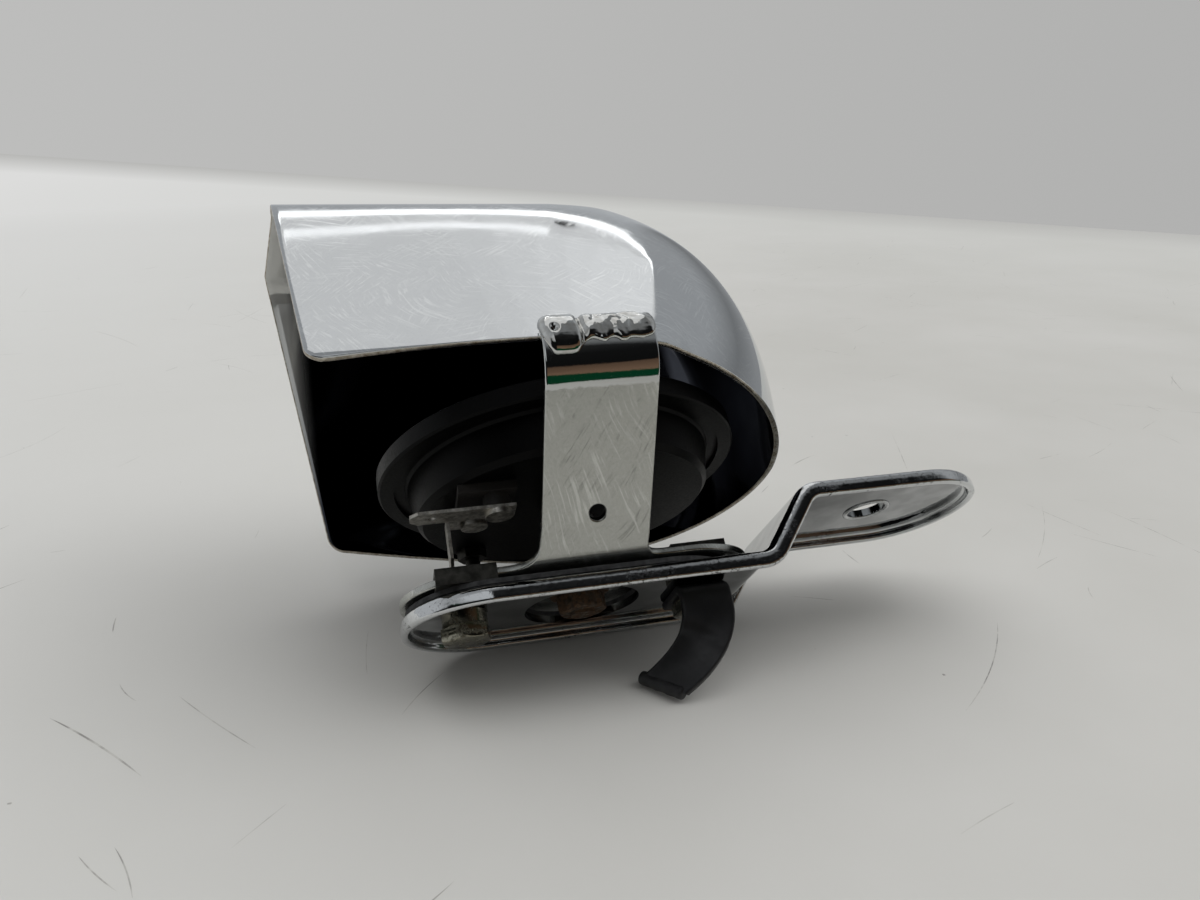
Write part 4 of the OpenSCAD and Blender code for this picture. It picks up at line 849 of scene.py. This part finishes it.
def build_bracket():
    """The pressing: rings of points round the outline, one for each point of the section."""
    # The path is longer than its reach in X, by the Z bend
    start = bracket_path.points[0].x
    stretch = bracket_path.along[-1] - (bracket_path.points[-1].x - start)
    s1, s2 = PLAIN_END - start, END_X - start + stretch
    quarter, runs = arc(36), 150
    # One side of the outline as lengths along and shares of the half width, then the other side back
    side = [(s1 - BRACKET_R * c, s) for c, s in quarter]
    side += [(s1 + (s2 - s1) * k / runs, 1.0) for k in range(1, runs)]
    side += [(s2 + BRACKET_R * s, c) for c, s in quarter]
    outline = [(s, -h) for s, h in side] + [(s, h) for s, h in side[-2:0:-1]]
    # Section as insets from the edge and depths below the web's top
    section = [(7.0, 0.0), (5.2, 0.0), (3.6, 0.0)]
    section += [(OUTER_R * (1 - s), OUTER_R * (1 - c)) for c, s in arc(10)]
    section += [(0.0, OUTER_R + (LIP - TIP_R - OUTER_R) * k / 3) for k in range(1, 3)]
    section += [(BRACKET_T / 2 - BRACKET_T / 2 * c, LIP - TIP_R + TIP_R * s) for c, s in arc(10, math.pi)]
    section += [(BRACKET_T, LIP - TIP_R - (LIP - TIP_R - BRACKET_T - INNER_R) / 2)]
    section += [(BRACKET_T + INNER_R * (1 - c), BRACKET_T + INNER_R * (1 - s)) for c, s in arc(6)]
    section += [(5.2, BRACKET_T), (7.0, BRACKET_T)]
    rows, size = len(section), len(outline)
    verts = []
    for e, d in section:
        for s, h in outline:
            # An inset shrinks the round ends about their middles
            middle = max(s1, min(s2, s))
            place = bracket_path.at(middle + (s - middle) * (BRACKET_R - e) / BRACKET_R, d)
            verts.append((place.x, h * (BRACKET_R - e), place.y))
    faces = ring_faces(rows, size, capped=False)
    # The web's top and underside are closed by strips across the outline
    for base in (0, (rows - 1) * size):
        faces += [tuple(base + v for v in dict.fromkeys((k, k + 1, (size - k - 1) % size, (size - k) % size)))
                  for k in range(len(side) - 1)]
    piece = make("bracket_pressing", verts, faces)
    worn = [max(0.0, min(1.0, (4.0 - abs(e - 0.6)) / 4.0)) if d < LIP - 0.2 else 1.0 for e, d in section]
    layer = piece.data.uv_layers.new(name="edge")
    for loop in piece.data.loops:
        layer.data[loop.index].uv = (worn[loop.vertex_index // size], 0.0)
    piece.data.materials.append(FINISH["chrome_bracket"])
    cut(piece, [rod((HOLE_X, 0), end_top - 5, end_top + 5, MOUNT_HOLE_R),
                rod((0, 0), WEB_TOP - 6, WEB_TOP + 6, WINDOW_R, 96)]
        + [rod((x, 0), WEB_TOP - 6, WEB_TOP + 6, BOLT_HOLE_R) for x in (-BOLT_X, BOLT_X)])
    return by_angle(piece, 38)


bracket = build_bracket()
# The raised round edge of the mounting hole, seen from below
end_low = end_top - BRACKET_T
hole_ring = lathe("hole_edge", [(MOUNT_HOLE_R + 0.7 - 0.7 * c, end_low - 0.5 * s) for c, s in arc(10, math.pi)]
                  + [(6.6, end_low + 0.3), (MOUNT_HOLE_R, end_low + 0.3)], (HOLE_X, 0))
hole_ring.data.materials.append(FINISH["chrome_bracket"])
hole_ring.data.uv_layers.new(name="edge")
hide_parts("mount_bracket")
print("bracket", len(bracket.data.polygons), "faces")

# %% [markdown]
# ## Hex bolts
#
# Two equal bolts hold the foot plate and the pad on the bracket. What repeats is made once and
# instanced: a node tree cuts a hexagonal prism with a cone, adds the washer face, the core and
# a ridge that winds up as the thread, and sets the bolt on both seats, each turned its own way.
# The sizes are the tree's named inputs. The result is made real and becomes one plain mesh.

# %% Hex bolts: the node tree of one bolt, set at both seats
WEB_LOW = WEB_TOP - BRACKET_T
# Across flats, and how far below the web each head's seat lies, under a lock washer and under the clip
AF, LEFT_SEAT, RIGHT_SEAT = 11.1, 1.64, 2.24
BOLT_SIZES = {
    "Across flats": AF * MM, "Head height": 3.55 * MM, "Washer face": 0.35 * MM, "Thread radius": 3.1 * MM,
    "Length": (PLATE_TOP + 4.0 - (WEB_LOW - LEFT_SEAT)) * MM, "Pitch": 1.0 * MM,
    "Left seat": tuple(row((-BOLT_X, 0, WEB_LOW - LEFT_SEAT))),
    "Right seat": tuple(row((BOLT_X, 0, WEB_LOW - RIGHT_SEAT))), "Lean": -LEAN, "Turn": 0.3}


def bolt_tree():
    """Head, washer face, core and thread of one bolt, instanced on two points."""
    tree = bpy.data.node_groups.new("hex_bolt_pair", "GeometryNodeTree")
    for name, size in BOLT_SIZES.items():
        kind = "NodeSocketVector" if isinstance(size, tuple) else "NodeSocketFloat"
        tree.interface.new_socket(name, in_out="INPUT", socket_type=kind)
    tree.interface.new_socket("Geometry", in_out="OUTPUT", socket_type="NodeSocketGeometry")
    given = tree.nodes.new("NodeGroupInput").outputs
    # Lengths worked out from the inputs, each line from those above it
    value = dict(zip(("flats", "head", "face", "radius", "length", "pitch"), given))
    for name, kind, *terms in (
            ("corner", "MULTIPLY", "flats", 0.5 / math.cos(math.pi / 6)),
            ("flat_r", "MULTIPLY", "flats", 0.48),
            ("tall", "MULTIPLY", "head", 1.2),
            ("cone_r", "MULTIPLY_ADD", "tall", 1 / math.tan(math.pi / 6), "flat_r"),
            ("cone_up", "MULTIPLY", "head", -0.5005),
            ("half_up", "MULTIPLY", "head", 0.5),
            ("under", "ADD", "half_up", "face"),
            ("head_up", "MULTIPLY", "under", -1.0),
            ("washer_up", "MULTIPLY", "face", -0.5),
            ("core_r", "MULTIPLY_ADD", "pitch", -0.36, "radius"),
            ("core_up", "MULTIPLY", "length", 0.5),
            ("run", "MULTIPLY", "length", 0.9),
            ("turns", "DIVIDE", "run", "pitch"),
            ("ridge", "MULTIPLY", "pitch", 0.36),
            ("ridge_up", "MULTIPLY", "length", 0.06)):
        value[name] = add(tree, "Math", {k: value.get(t, t) for k, t in enumerate(terms)}, operation=kind)
    # A hexagon, cut by a cone that turns its corners off at 30 degrees
    prism = add(tree, "GeometryNodeMeshCylinder", {"Vertices": 6, "Radius": value["corner"], "Depth": value["head"]})
    cone = add(tree, "GeometryNodeMeshCone", {
        "Vertices": 96, "Radius Bottom": value["flat_r"], "Radius Top": value["cone_r"], "Depth": value["tall"]})
    centred = add(tree, "GeometryNodeTransform", {
        "Geometry": cone, "Translation": add(tree, "CombineXYZ", {2: value["cone_up"]})})
    head = add(tree, "GeometryNodeMeshBoolean", {1: [prism, centred]}, operation="INTERSECT", solver="EXACT")
    washer = add(tree, "GeometryNodeMeshCylinder", {
        "Vertices": 64, "Radius": value["flat_r"], "Depth": value["face"]})
    # The core, and a ridge that winds up round it
    core = add(tree, "GeometryNodeMeshCylinder", {
        "Vertices": 48, "Radius": value["core_r"], "Depth": value["length"]})
    spiral = add(tree, "GeometryNodeCurveSpiral", {
        "Resolution": 32, "Rotations": value["turns"], "Start Radius": value["core_r"], "End Radius": value["core_r"],
        "Height": value["run"]})
    section = add(tree, "GeometryNodeCurvePrimitiveCircle", {"Resolution": 3, "Radius": value["ridge"]})
    ridge = add(tree, "GeometryNodeCurveToMesh", {"Curve": spiral, "Profile Curve": section, "Fill Caps": True})
    # The seat is at zero: the head hangs below it, with the washer face between them
    parts = [add(tree, "GeometryNodeTransform", {
        "Geometry": mesh, "Translation": add(tree, "CombineXYZ", {2: value[up]})})
        for mesh, up in ((head, "head_up"), (washer, "washer_up"), (core, "core_up"), (ridge, "ridge_up"))]
    bolt = add(tree, "GeometryNodeJoinGeometry", {0: parts})
    seats = add(tree, "GeometryNodeMeshLine", {"Count": 2, "Start Location": given["Left seat"],
                                               "Offset": given["Right seat"]}, mode="END_POINTS")
    pair = add(tree, "GeometryNodeInstanceOnPoints", {
        "Points": seats, "Instance": bolt, "Rotation": add(tree, "CombineXYZ", {0: given["Lean"]})})
    number = add(tree, "Math", {0: add(tree, "GeometryNodeInputIndex"), 1: 1.0}, operation="ADD")
    spin = add(tree, "Math", {0: number, 1: given["Turn"]}, operation="MULTIPLY")
    pair = add(tree, "GeometryNodeRotateInstances", {
        "Instances": pair, "Rotation": add(tree, "CombineXYZ", {2: spin}), "Local Space": True})
    real = add(tree, "GeometryNodeRealizeInstances", {0: pair})
    done = add(tree, "GeometryNodeSetMaterial", {"Geometry": real, "Material": FINISH["yellow_zinc"]})
    tree.links.new(done, tree.nodes.new("NodeGroupOutput").inputs[0])
    return tree


def bevelled(piece, name, width, degrees):
    """Rounds the edges that are sharper than the angle."""
    step = piece.modifiers.new(name, "BEVEL")
    step.width, step.segments, step.limit_method, step.angle_limit = width * MM, 2, "ANGLE", math.radians(degrees)
    return baked(piece)


# %% Hex bolts: the tree's inputs set, and the result made a plain mesh
fasteners = linked("hex_bolts", bpy.data.meshes.new("hex_bolts"))
step = fasteners.modifiers.new("bolts", "NODES")
step.node_group = bolt_tree()
for item in step.node_group.interface.items_tree:
    if item.in_out == "INPUT":
        step[item.identifier] = BOLT_SIZES[item.name]
tidy(baked(fasteners), 1e-6)
by_angle(bevelled(fasteners, "worn_edges", 0.1, 40), 50)
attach(fasteners, "root_body")
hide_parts("bracket_bolts")
print("bolts", len(fasteners.data.polygons), "faces, box", [round(v, 4) for v in fasteners.bound_box[0]])

# %% [markdown]
# ## Rusty nut
#
# The nut in the bracket's window holds the horn's stud. It is a single one, with both faces
# chamfered, so it is cut with a turned tool in mesh code. Its levels are measured on the
# carried node, in the horn's own leaning frame.

# %% Stud nut
STUD_R, SLOPE_30 = 3.2, math.tan(math.radians(30))


def own_levels(node):
    """Lowest and highest level of a node along the horn's axis, in mm."""
    part = frame["nodes"][node]
    points = [(part.matrix_world @ v.co) / MM - PLACE for v in part.data.vertices]
    levels = [p.y * math.sin(LEAN) + p.z * math.cos(LEAN) for p in points]
    return min(levels), max(levels)


def build_nut(low, high, turn):
    """A hexagon whose corners are turned off by a 30 degree cone at both faces, with a round hole."""
    r, flat = AF / 2 / math.cos(math.pi / 6), AF / 2 * 0.96
    verts = [(r * math.cos(math.pi / 3 * k + turn), r * math.sin(math.pi / 3 * k + turn), z)
             for z in (low, high) for k in range(6)]
    faces = [(5, 4, 3, 2, 1, 0), (6, 7, 8, 9, 10, 11)] + ring_faces(2, 6, capped=False)
    piece = make("rusty_nut", verts, faces, smooth=False)
    # The turning tool: a little above and below the nut, and a little wider than its corners
    fall = (r - flat) * SLOPE_30 + 0.6 * SLOPE_30
    tool = lathe("tool", [(0.0001, low - 0.01), (flat, low - 0.01), (r + 0.6, low + fall), (r + 0.6, high - fall),
                          (flat, high + 0.01), (0.0001, high + 0.01)], closed=False)
    tidy(tool, 2e-7)
    cut(piece, [tool], "INTERSECT")
    bevelled(piece, "edges", 0.12, 28)
    piece.data.materials.append(FINISH["rusty_steel"])
    cut(piece, [rod((0, 0), low - 1, high + 1, STUD_R)])
    return by_angle(piece, 50)


rust_nut = build_nut(*own_levels("stud_nut"), 0.15)
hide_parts("stud_nut")
print("nut", len(rust_nut.data.polygons), "faces")

# %% [markdown]
# ## Wire clip
#
# A coated strap of sheet, flat under the bolt's head, bent down to the table and rolled at its
# foot. Its centre line is a smooth curve through the stations of the CAD model.

# %% Clip
CLIP_W, CLIP_T, CLIP_EDGE = 13.3, 2.2, 0.75
CLIP_FIRST, CLIP_LAST = Vector((1, 0, 0)), Vector((0.6, -0.58, -0.54))
CLIP_MID, CLIP_BEND = WEB_LOW - CLIP_T / 2 - 0.02, -AF / 2 - 0.7
# Stations of the centre line, each with its share of the twist from the first way across to the last
STATIONS = [(Vector((BOLT_X, 7.5, CLIP_MID)), 0)] + [
    (Vector((BOLT_X + x, CLIP_BEND + y, CLIP_MID + z)), twist) for x, y, z, twist in (
        (0, 0, 0, 0), (0, -1.7, -1, 0), (0, -2.4, -3.2, 0), (-0.5, -2.4, -8, 0.12), (-2.4, -1.8, -12.6, 0.32),
        (-5.6, -0.5, -16.6, 0.6), (-9.5, 1.7, -19.8, 0.85), (-13.2, 4.4, -22, 1))]


def clip_line(count=14):
    """Points and twists along a straight first run and a smooth curve through the other stations."""
    line = []
    for i in range(len(STATIONS) - 1):
        (p1, t1), (p2, t2) = STATIONS[i:i + 2]
        p0, p3 = STATIONS[max(0, i - 1)][0], STATIONS[min(len(STATIONS) - 1, i + 2)][0]
        m1, m2 = (p2 - p0) * 0.5 if i > 1 else (p2 - p1) * 0.8, (p3 - p1) * 0.5
        for t in (k / count for k in range(count)):
            p = p1.lerp(p2, t) if i == 0 else (
                p1 * (2 * t ** 3 - 3 * t ** 2 + 1) + m1 * (t ** 3 - 2 * t ** 2 + t)
                + p2 * (-2 * t ** 3 + 3 * t ** 2) + m2 * (t ** 3 - t ** 2))
            line.append((p, t1 + (t2 - t1) * t))
    return line + [(STATIONS[-1][0], 1.0)]


def clip_section():
    """A flat strip's section with round corners, and extra points along its flats that let it sag."""
    x, y = CLIP_W / 2 - CLIP_EDGE, CLIP_T / 2 - CLIP_EDGE
    ring = []
    for cx, cy, start in ((x, y, 0), (-x, y, 90), (-x, -y, 180), (x, -y, 270)):
        for a in (math.radians(start + 90 * k / 5) for k in range(6)):
            ring.append((cx + CLIP_EDGE * math.cos(a), cy + CLIP_EDGE * math.sin(a)))
    full = []
    for a, b in zip(ring, ring[1:] + ring[:1]):
        full.append(a)
        if abs(a[0] - b[0]) > 5:
            full += [(a[0] + (b[0] - a[0]) * k / 12, a[1] + (b[1] - a[1]) * k / 12) for k in range(1, 12)]
    return full


def build_clip():
    """The strip swept along its line, with a crease across it, and the roll at its foot."""
    line, section = clip_line(), clip_section()
    verts, rows = [], len(line)
    for j, (p, t) in enumerate(line):
        way = (line[min(rows - 1, j + 1)][0] - line[max(0, j - 1)][0]).normalized()
        across = (CLIP_FIRST * (1 - t) + CLIP_LAST * t).normalized()
        normal = way.cross(across).normalized()
        fade = min(1.0, max(0.0, (j - 20) / 12))
        for u, v in section:
            soft = 0.12 * slow_noise(u * 0.25, j * 0.06, 2.0)
            fold = 0.35 * math.exp(-((j - rows * 0.62 - u * 1.1) / 4.0) ** 2)
            verts.append(tuple(p + across * u + normal * (v + (soft - fold) * fade)))
    strip = make("strip", verts, ring_faces(rows, len(section)))
    cut(strip, [rod((BOLT_X, 0), CLIP_MID - 3, CLIP_MID + 3, BOLT_HOLE_R)])
    # The roll lies across the strip's end, with blunt round ends of its own
    way = CLIP_LAST.normalized()
    start, length = line[-1][0] - way * (CLIP_W / 2 + 0.4), CLIP_W * 0.93 + 0.4
    side = Vector((0, 0, 1)).cross(way).normalized()
    up = way.cross(side)
    profile = [(0.0, 0.9), (0.05, 1.3), (0.25, 1.6), (0.6, 1.7)]
    profile += [(0.6 + (length - 1.2) * k / 20, 1.7 + 0.05 * math.sin(k)) for k in range(1, 20)]
    profile += [(length - 0.6, 1.7), (length - 0.25, 1.55), (length - 0.05, 1.2), (length, 0.8)]
    steps = arc(40, 2 * math.pi)[:-1]
    verts = [tuple(start + way * d + (side * c + up * s) * r) for d, r in profile for c, s in steps]
    roll = make("roll", verts, ring_faces(len(profile), len(steps)))
    # Both become one mesh
    bm = bmesh.new()
    mesh = bpy.data.meshes.new("coated_clip")
    for part in (strip, roll):
        bm.from_mesh(part.data)
        bpy.data.objects.remove(part)
    bm.to_mesh(mesh)
    bm.free()
    mesh.materials.append(FINISH["black_coating"])
    return by_angle(linked("coated_clip", mesh), 45)


clip = build_clip()
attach(clip, "root_body")
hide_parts("wire_clip")
print("clip", len(clip.data.polygons), "faces")

# %% [markdown]
# ## Floor
#
# The object lies on a worn painted board. The board's tone drifts slowly. Its scratches are
# long thin lines, so they are drawn as narrow ribbons that lie on it, and a few specks as small
# flakes. Far away the board fades into one pale tone, as in a soft photograph.

# %% Floor board
# The floor ends where the photograph's soft horizon lies, askew behind the object
HORIZON = Vector((-0.876, 3.534, 0)), Vector((0.889, 0.666, 0))
EDGE_WAY = (HORIZON[1] - HORIZON[0]).normalized()
EDGE_OUT = Vector((-EDGE_WAY.y, EDGE_WAY.x, 0))


def floor_material():
    """Matt painted board with slow blotches, a low sheen and painted light that makes its left side lighter."""
    mat, t, place = begin("floor_painted_board")
    cloud = add(t, "TexNoise", {"Vector": place, "Scale": per(170), "Detail": 4, "Roughness": 0.6})
    part = add(t, "MapRange", {0: cloud, 1: 0.35, 2: 0.68})
    tone = add(t, "Mix", {0: part, 6: "#c1c0bb", 7: "#c9c8c4"}, **BLEND)
    # The board is lighter at the left: painted light, in place of more lamp light from that side
    across = add(t, "MapRange", {0: add(t, "SeparateXYZ", {0: place}), 1: 0.15, 2: -0.42, 4: 1.0})
    tone = add(t, "Mix", {0: across, 6: tone, 7: "#dcdcd9"}, **BLEND)
    grit = add(t, "TexNoise", {"Vector": place, "Scale": per(2.5), "Detail": 3})
    finish(mat, Base_Color=tone, Roughness=0.5, Normal=add(t, "Bump", {"Height": grit, "Distance": 0.02 * MM}))
    # Far away the board fades into its own pale tone, and at its edge into the wall's; the far tone is lighter at the
    # left, also painted light
    from_edge = add(t, "VectorMath", {0: place, 1: tuple(HORIZON[0])}, operation="SUBTRACT")
    gap = add(t, "VectorMath", {0: from_edge, 1: tuple(EDGE_OUT)}, "Value", operation="DOT_PRODUCT")
    gap = add(t, "Math", {0: gap}, operation="ABSOLUTE")
    span = add(t, "VectorMath", {0: place}, "Value", operation="LENGTH")
    far = add(t, "MapRange", {0: span, 1: 0.45, 2: 1.5})
    near_edge = add(t, "Math", {0: gap, 1: span}, operation="DIVIDE")
    edge = add(t, "MapRange", {0: near_edge, 1: 0.0, 2: 0.16, 3: 1.0, 4: 0.0})
    side = add(t, "MapRange", {0: add(t, "SeparateXYZ", {0: place}), 1: -0.8, 2: 0.6})
    pale = add(t, "Mix", {0: side, 6: "#dcdcdb", 7: "#cdcecb"}, **BLEND)
    fade = add(t, "Mix", {0: edge, 6: pale, 7: "#b7b7b5"}, **BLEND)
    glow = add(t, "Emission", {"Color": fade, "Strength": 1.0})
    both = add(t, "MixShader", {0: far, 1: t.nodes["Principled BSDF"].outputs[0], 2: glow})
    t.links.new(both, t.nodes["Material Output"].inputs["Surface"])
    return mat


def staged(name, verts, faces, material):
    """A piece of the stage, which isn't part of the object."""
    mesh = bpy.data.meshes.new(name)
    mesh.from_pydata([Vector(v) for v in verts], [], faces)
    mesh.materials.append(material)
    piece = linked(name, mesh)
    return piece


# The near board and an apron in front of it, which mirrors don't show, in metres
BACK, FRONT, SIDE = -0.45, -4.0, -4.0
far_left = HORIZON[0] - EDGE_WAY * 2.0
far_right = HORIZON[1] + EDGE_WAY * (HORIZON[1].y - BACK) / -EDGE_WAY.y
board = floor_material()
staged("floor", [(SIDE, BACK, 0), far_right, far_left, (SIDE, far_left.y, 0)], [(0, 1, 2, 3)], board)
apron = staged("floor_front", [(SIDE, FRONT, 0), (far_right.x, FRONT, 0), far_right, (SIDE, BACK, 0)],
               [(0, 1, 2, 3)], board)
apron.visible_glossy = False


# %% Scratches and specks on the board
# Both lie a hair above the board, in metres, and both are spread over the same field
HAIR, FIELD_X, FIELD_Y = 0.00003, (-0.42, 0.62), (-0.26, 0.75)


def scratch_material():
    """The board's paint scored open: a little darker, broken where the score was light."""
    mat, t, place = begin("floor_scored_paint")
    broken = add(t, "TexNoise", {"Vector": place, "Scale": per(7), "Detail": 3, "Roughness": 0.6})
    part = add(t, "MapRange", {0: broken, 1: 0.40, 2: 0.60})
    slow = add(t, "TexNoise", {"Vector": place, "Scale": per(60), "Detail": 2})
    deep = add(t, "MapRange", {0: slow, 1: 0.35, 2: 0.65})
    dark = add(t, "Mix", {0: deep, 6: "#adaca7", 7: "#858380"}, **BLEND)
    tone = add(t, "Mix", {0: part, 6: "#c4c3be", 7: dark}, **BLEND)
    return finish(mat, Base_Color=tone, Roughness=0.6)


def build_scratches():
    """Long thin ribbons, each a slightly curved score, and small flakes."""
    verts, faces, steps = [], [], 10
    for number in range(420):
        x, y = random.uniform(*FIELD_X), random.uniform(*FIELD_Y)
        way = random.choice((0.6, 0.9, 1.9, 2.6)) + random.gauss(0, 0.35)
        length = min(0.07, random.lognormvariate(-3.9, 0.6))
        half = random.uniform(0.07, 0.17) * MM * (1.6 if number % 9 == 0 else 1.0)
        bow = random.gauss(0, 0.10)
        start = len(verts)
        for t in (k / steps - 0.5 for k in range(steps + 1)):
            heading = way + bow * t
            point = Vector((x + math.cos(heading) * length * t, y + math.sin(heading) * length * t, HAIR))
            side = Vector((-math.sin(heading), math.cos(heading), 0)) * half * (1 - (2 * t) ** 4 * 0.9)
            verts += [point - side, point + side]
        faces += [(k, k + 1, k + 3, k + 2) for k in range(start, start + 2 * steps, 2)]
    for _ in range(60):
        x, y = random.uniform(*FIELD_X), random.uniform(*FIELD_Y)
        r, start = random.uniform(0.2, 0.7) * MM, len(verts)
        verts += [Vector((x + r * random.uniform(0.5, 1) * math.cos(a), y + r * random.uniform(0.5, 1) * math.sin(a),
                          HAIR)) for a in (math.pi / 4 * k for k in range(8))]
        faces.append(tuple(range(start, start + 8)))
    piece = staged("floor_scratches", verts, faces, scratch_material())
    piece.visible_glossy = piece.visible_shadow = False


build_scratches()
print("floor ready")

# %% [markdown]
# ## Lights
#
# Bright metal looks like what it mirrors, so the room is built for the chrome: sheets of light
# behind the object, which cast no shadow and don't show to the camera, and a world whose tone
# depends on the direction. A soft lamp from above lights what isn't metal. Directions are read
# from the object: azimuth from straight behind towards the right, and elevation.

# %% Light sheets that the chrome mirrors
CENTRE = Vector((-0.018, 0.0, 0.05))
# Lower edge of the window as the cover's wall mirrors it, from left to right
WINDOW = [(-42, 47), (-28, 44.5), (-14, 40), (-4, 35), (1, 32), (4, 30.4), (7, 29.2), (11, 28.4), (15, 28.8),
          (20, 30.3), (25, 31.5), (31, 33), (34, 34)]


def toward(azimuth, elevation, distance):
    """The point that lies in a direction from the object, in metres."""
    e, a = math.radians(elevation), math.radians(azimuth)
    return CENTRE + Vector((math.sin(a) * math.cos(e), math.cos(a) * math.cos(e), math.sin(e))) * distance


def glowing(name, low, high, level, distance=1.6):
    """A sheet of light between two lines of directions."""
    mat, t, _ = begin(name)
    glow = add(t, "Emission", {"Color": (1.0, 1.0, 1.0, 1.0), "Strength": level})
    t.links.new(glow, t.nodes["Material Output"].inputs["Surface"])
    count = len(low)
    faces = [(k, k + 1, count + k + 1, count + k) for k in range(count - 1)]
    piece = staged(name, [toward(*c, distance) for c in low + high], faces, mat)
    piece.visible_camera = piece.visible_shadow = False


def strip(first, last, start, end):
    """Two lines of directions beside the window's lower edge, from start to end degrees above it."""
    part = [c for c in WINDOW if first <= c[0] <= last]
    return [(a, e + start) for a, e in part], [(a, e + end) for a, e in part]


glowing("window_sheet", [(a, e + 1.6) for a, e in WINDOW], [(a, 82) for a, e in WINDOW], 0.80, 2.2)
glowing("low_tube", *strip(-14, 34, -1.3, 1.6), 2.1, 1.59)
glowing("high_tube", *strip(-14, 15, 5.6, 7.6), 1.5, 1.58)
# The window is paler towards the right, in steps that the chrome's haze blends
for number, (start, end, level) in enumerate((
        (6, 10, 0.83), (10, 14, 0.87), (14, 18, 0.91), (18, 22, 0.95), (22, 33, 0.98))):
    glowing(f"pale_step_{number}", [(start, 35.3), (end, 35.3)], [(start, 55), (end, 55)], level, 1.9)
# A small dark gap in front of the low tube
glowing("lamp_gap", [(15.6, 32.0), (17.0, 31.2), (18.4, 32.0)], [(15.6, 32.6), (17.0, 33.4), (18.4, 32.9)],
        0.004, 1.5)


# %% Soft lamps from above and from the side
def fill(name, place, aim, size, level):
    """A soft lamp of a given radiance that mirrors don't show."""
    lamp = bpy.data.lights.new(name, "AREA")
    lamp.shape = "RECTANGLE"
    lamp.size, lamp.size_y = size
    lamp.energy = level * math.pi * size[0] * size[1]
    piece = linked(name, lamp)
    piece.location = place
    piece.rotation_euler = (Vector(aim) - Vector(place)).to_track_quat("-Z", "Y").to_euler()
    piece.visible_camera = piece.visible_glossy = False


fill("soft_fill", (0.15, 0.9, 2.4), (0.0, 0.25, 0), (5.6, 4.2), 1.15)
fill("side_fill", (1.9, -0.5, 1.5), (0.0, 0.1, 0), (2.0, 2.0), 1.7)


# %% World: a pale wall to the camera, and to mirrors a room
def studio_world():
    """Mirrors see a room: pale behind, dimmer above and at the right, dark in front."""
    world = bpy.data.worlds.new("studio")
    bpy.context.scene.world = world
    world.use_nodes = True
    t = world.node_tree
    way = add(t, "TexCoord", out="Generated")
    x, y, z = (add(t, "SeparateXYZ", {0: way}, k) for k in range(3))
    # Each side's tone by height, from (height, level) or (height, hex) pairs
    room = {}
    for name, stops in (
            ("behind", [(0.0, 0.50), (0.36, 0.52), (0.50, 0.44), (1.0, 0.30)]),
            ("right", [(0.0, 0.30), (0.20, 0.22), (0.42, 0.40), (0.62, 0.40), (0.80, 0.24), (1.0, 0.20)]),
            # A green mat, a brown bench edge, then the dark room
            ("front", [(0.0, "#0a3a24"), (0.105, "#0a3a24"), (0.125, "#7a6250"), (0.40, "#5f4b3d"), (0.46, 0.006),
                       (0.80, 0.008), (0.93, 0.02), (1.0, 0.14)]),
            # Dark, then a green edge, then a pale blind
            ("front left", [(0.0, 0.01), (0.585, 0.006), (0.595, "#0a3a24"), (0.612, "#0a3a24"), (0.625, 0.24),
                            (0.76, 0.55), (1.0, 0.60)])):
        room[name] = add(t, "ValToRGB", {0: z})
        band = room[name].node.color_ramp
        while len(band.elements) < len(stops):
            band.elements.new(0.5)
        for element, (at, tone) in zip(band.elements, stops):
            element.position = at
            # A level is a grey that leans a little towards blue
            element.color = linear(tone) if isinstance(tone, str) else (tone * 0.97, tone, tone * 1.03, 1)
    to_left = add(t, "MapRange", {0: x, 1: -0.03, 2: -0.06})
    front = add(t, "Mix", {0: to_left, 6: room["front"], 7: room["front left"]}, **BLEND)
    side = add(t, "Math", {0: y, 1: -0.42, 2: x}, operation="MULTIPLY_ADD")
    to_right = add(t, "MapRange", {0: side, 1: 0.0, 2: 0.06})
    to_front = add(t, "MapRange", {0: y, 1: -0.10, 2: -0.30})
    around = add(t, "Mix", {0: to_right, 6: room["behind"], 7: room["right"]}, **BLEND)
    around = add(t, "Mix", {0: to_front, 6: around, 7: front}, **BLEND)
    glossy = add(t, "LightPath", out="Is Glossy Ray")
    seen = add(t, "LightPath", out="Is Camera Ray")
    lit = add(t, "Mix", {0: glossy, 6: (0.20, 0.20, 0.20, 1), 7: around}, **BLEND)
    across = add(t, "MapRange", {0: x, 1: -0.45, 2: 0.75})
    wall = add(t, "Mix", {0: across, 6: "#bfbfbe", 7: "#b1b1b0"}, **BLEND)
    plug(t, t.nodes["Background"], {"Color": add(t, "Mix", {0: seen, 6: lit, 7: wall}, **BLEND)})


studio_world()
print("lights ready")

# %% [markdown]
# ## Camera
#
# The camera was fitted to the photograph: its place, its three directions and its lens make the
# object's corners fall on the same pixels of a frame of 1200 by 900.

# %% Camera
camera = linked("camera", bpy.data.cameras.new("camera"))
side = Vector((0.966676, -0.255956, -0.004829))
down = Vector((-0.088624, -0.316895, -0.944311))
forward = Vector((0.240172, 0.913271, -0.329019))
turn = Matrix((side, -down, -forward)).transposed().to_4x4()
camera.matrix_world = Matrix.Translation(Vector((-0.070081, -0.248701, 0.132972))) @ turn
camera.data.sensor_width = 36
camera.data.lens = 28.702
camera.data.clip_start = 0.005
camera.data.clip_end = 30
bpy.context.scene.camera = camera
bpy.context.scene.view_settings.view_transform = "Standard"
print("camera ready")
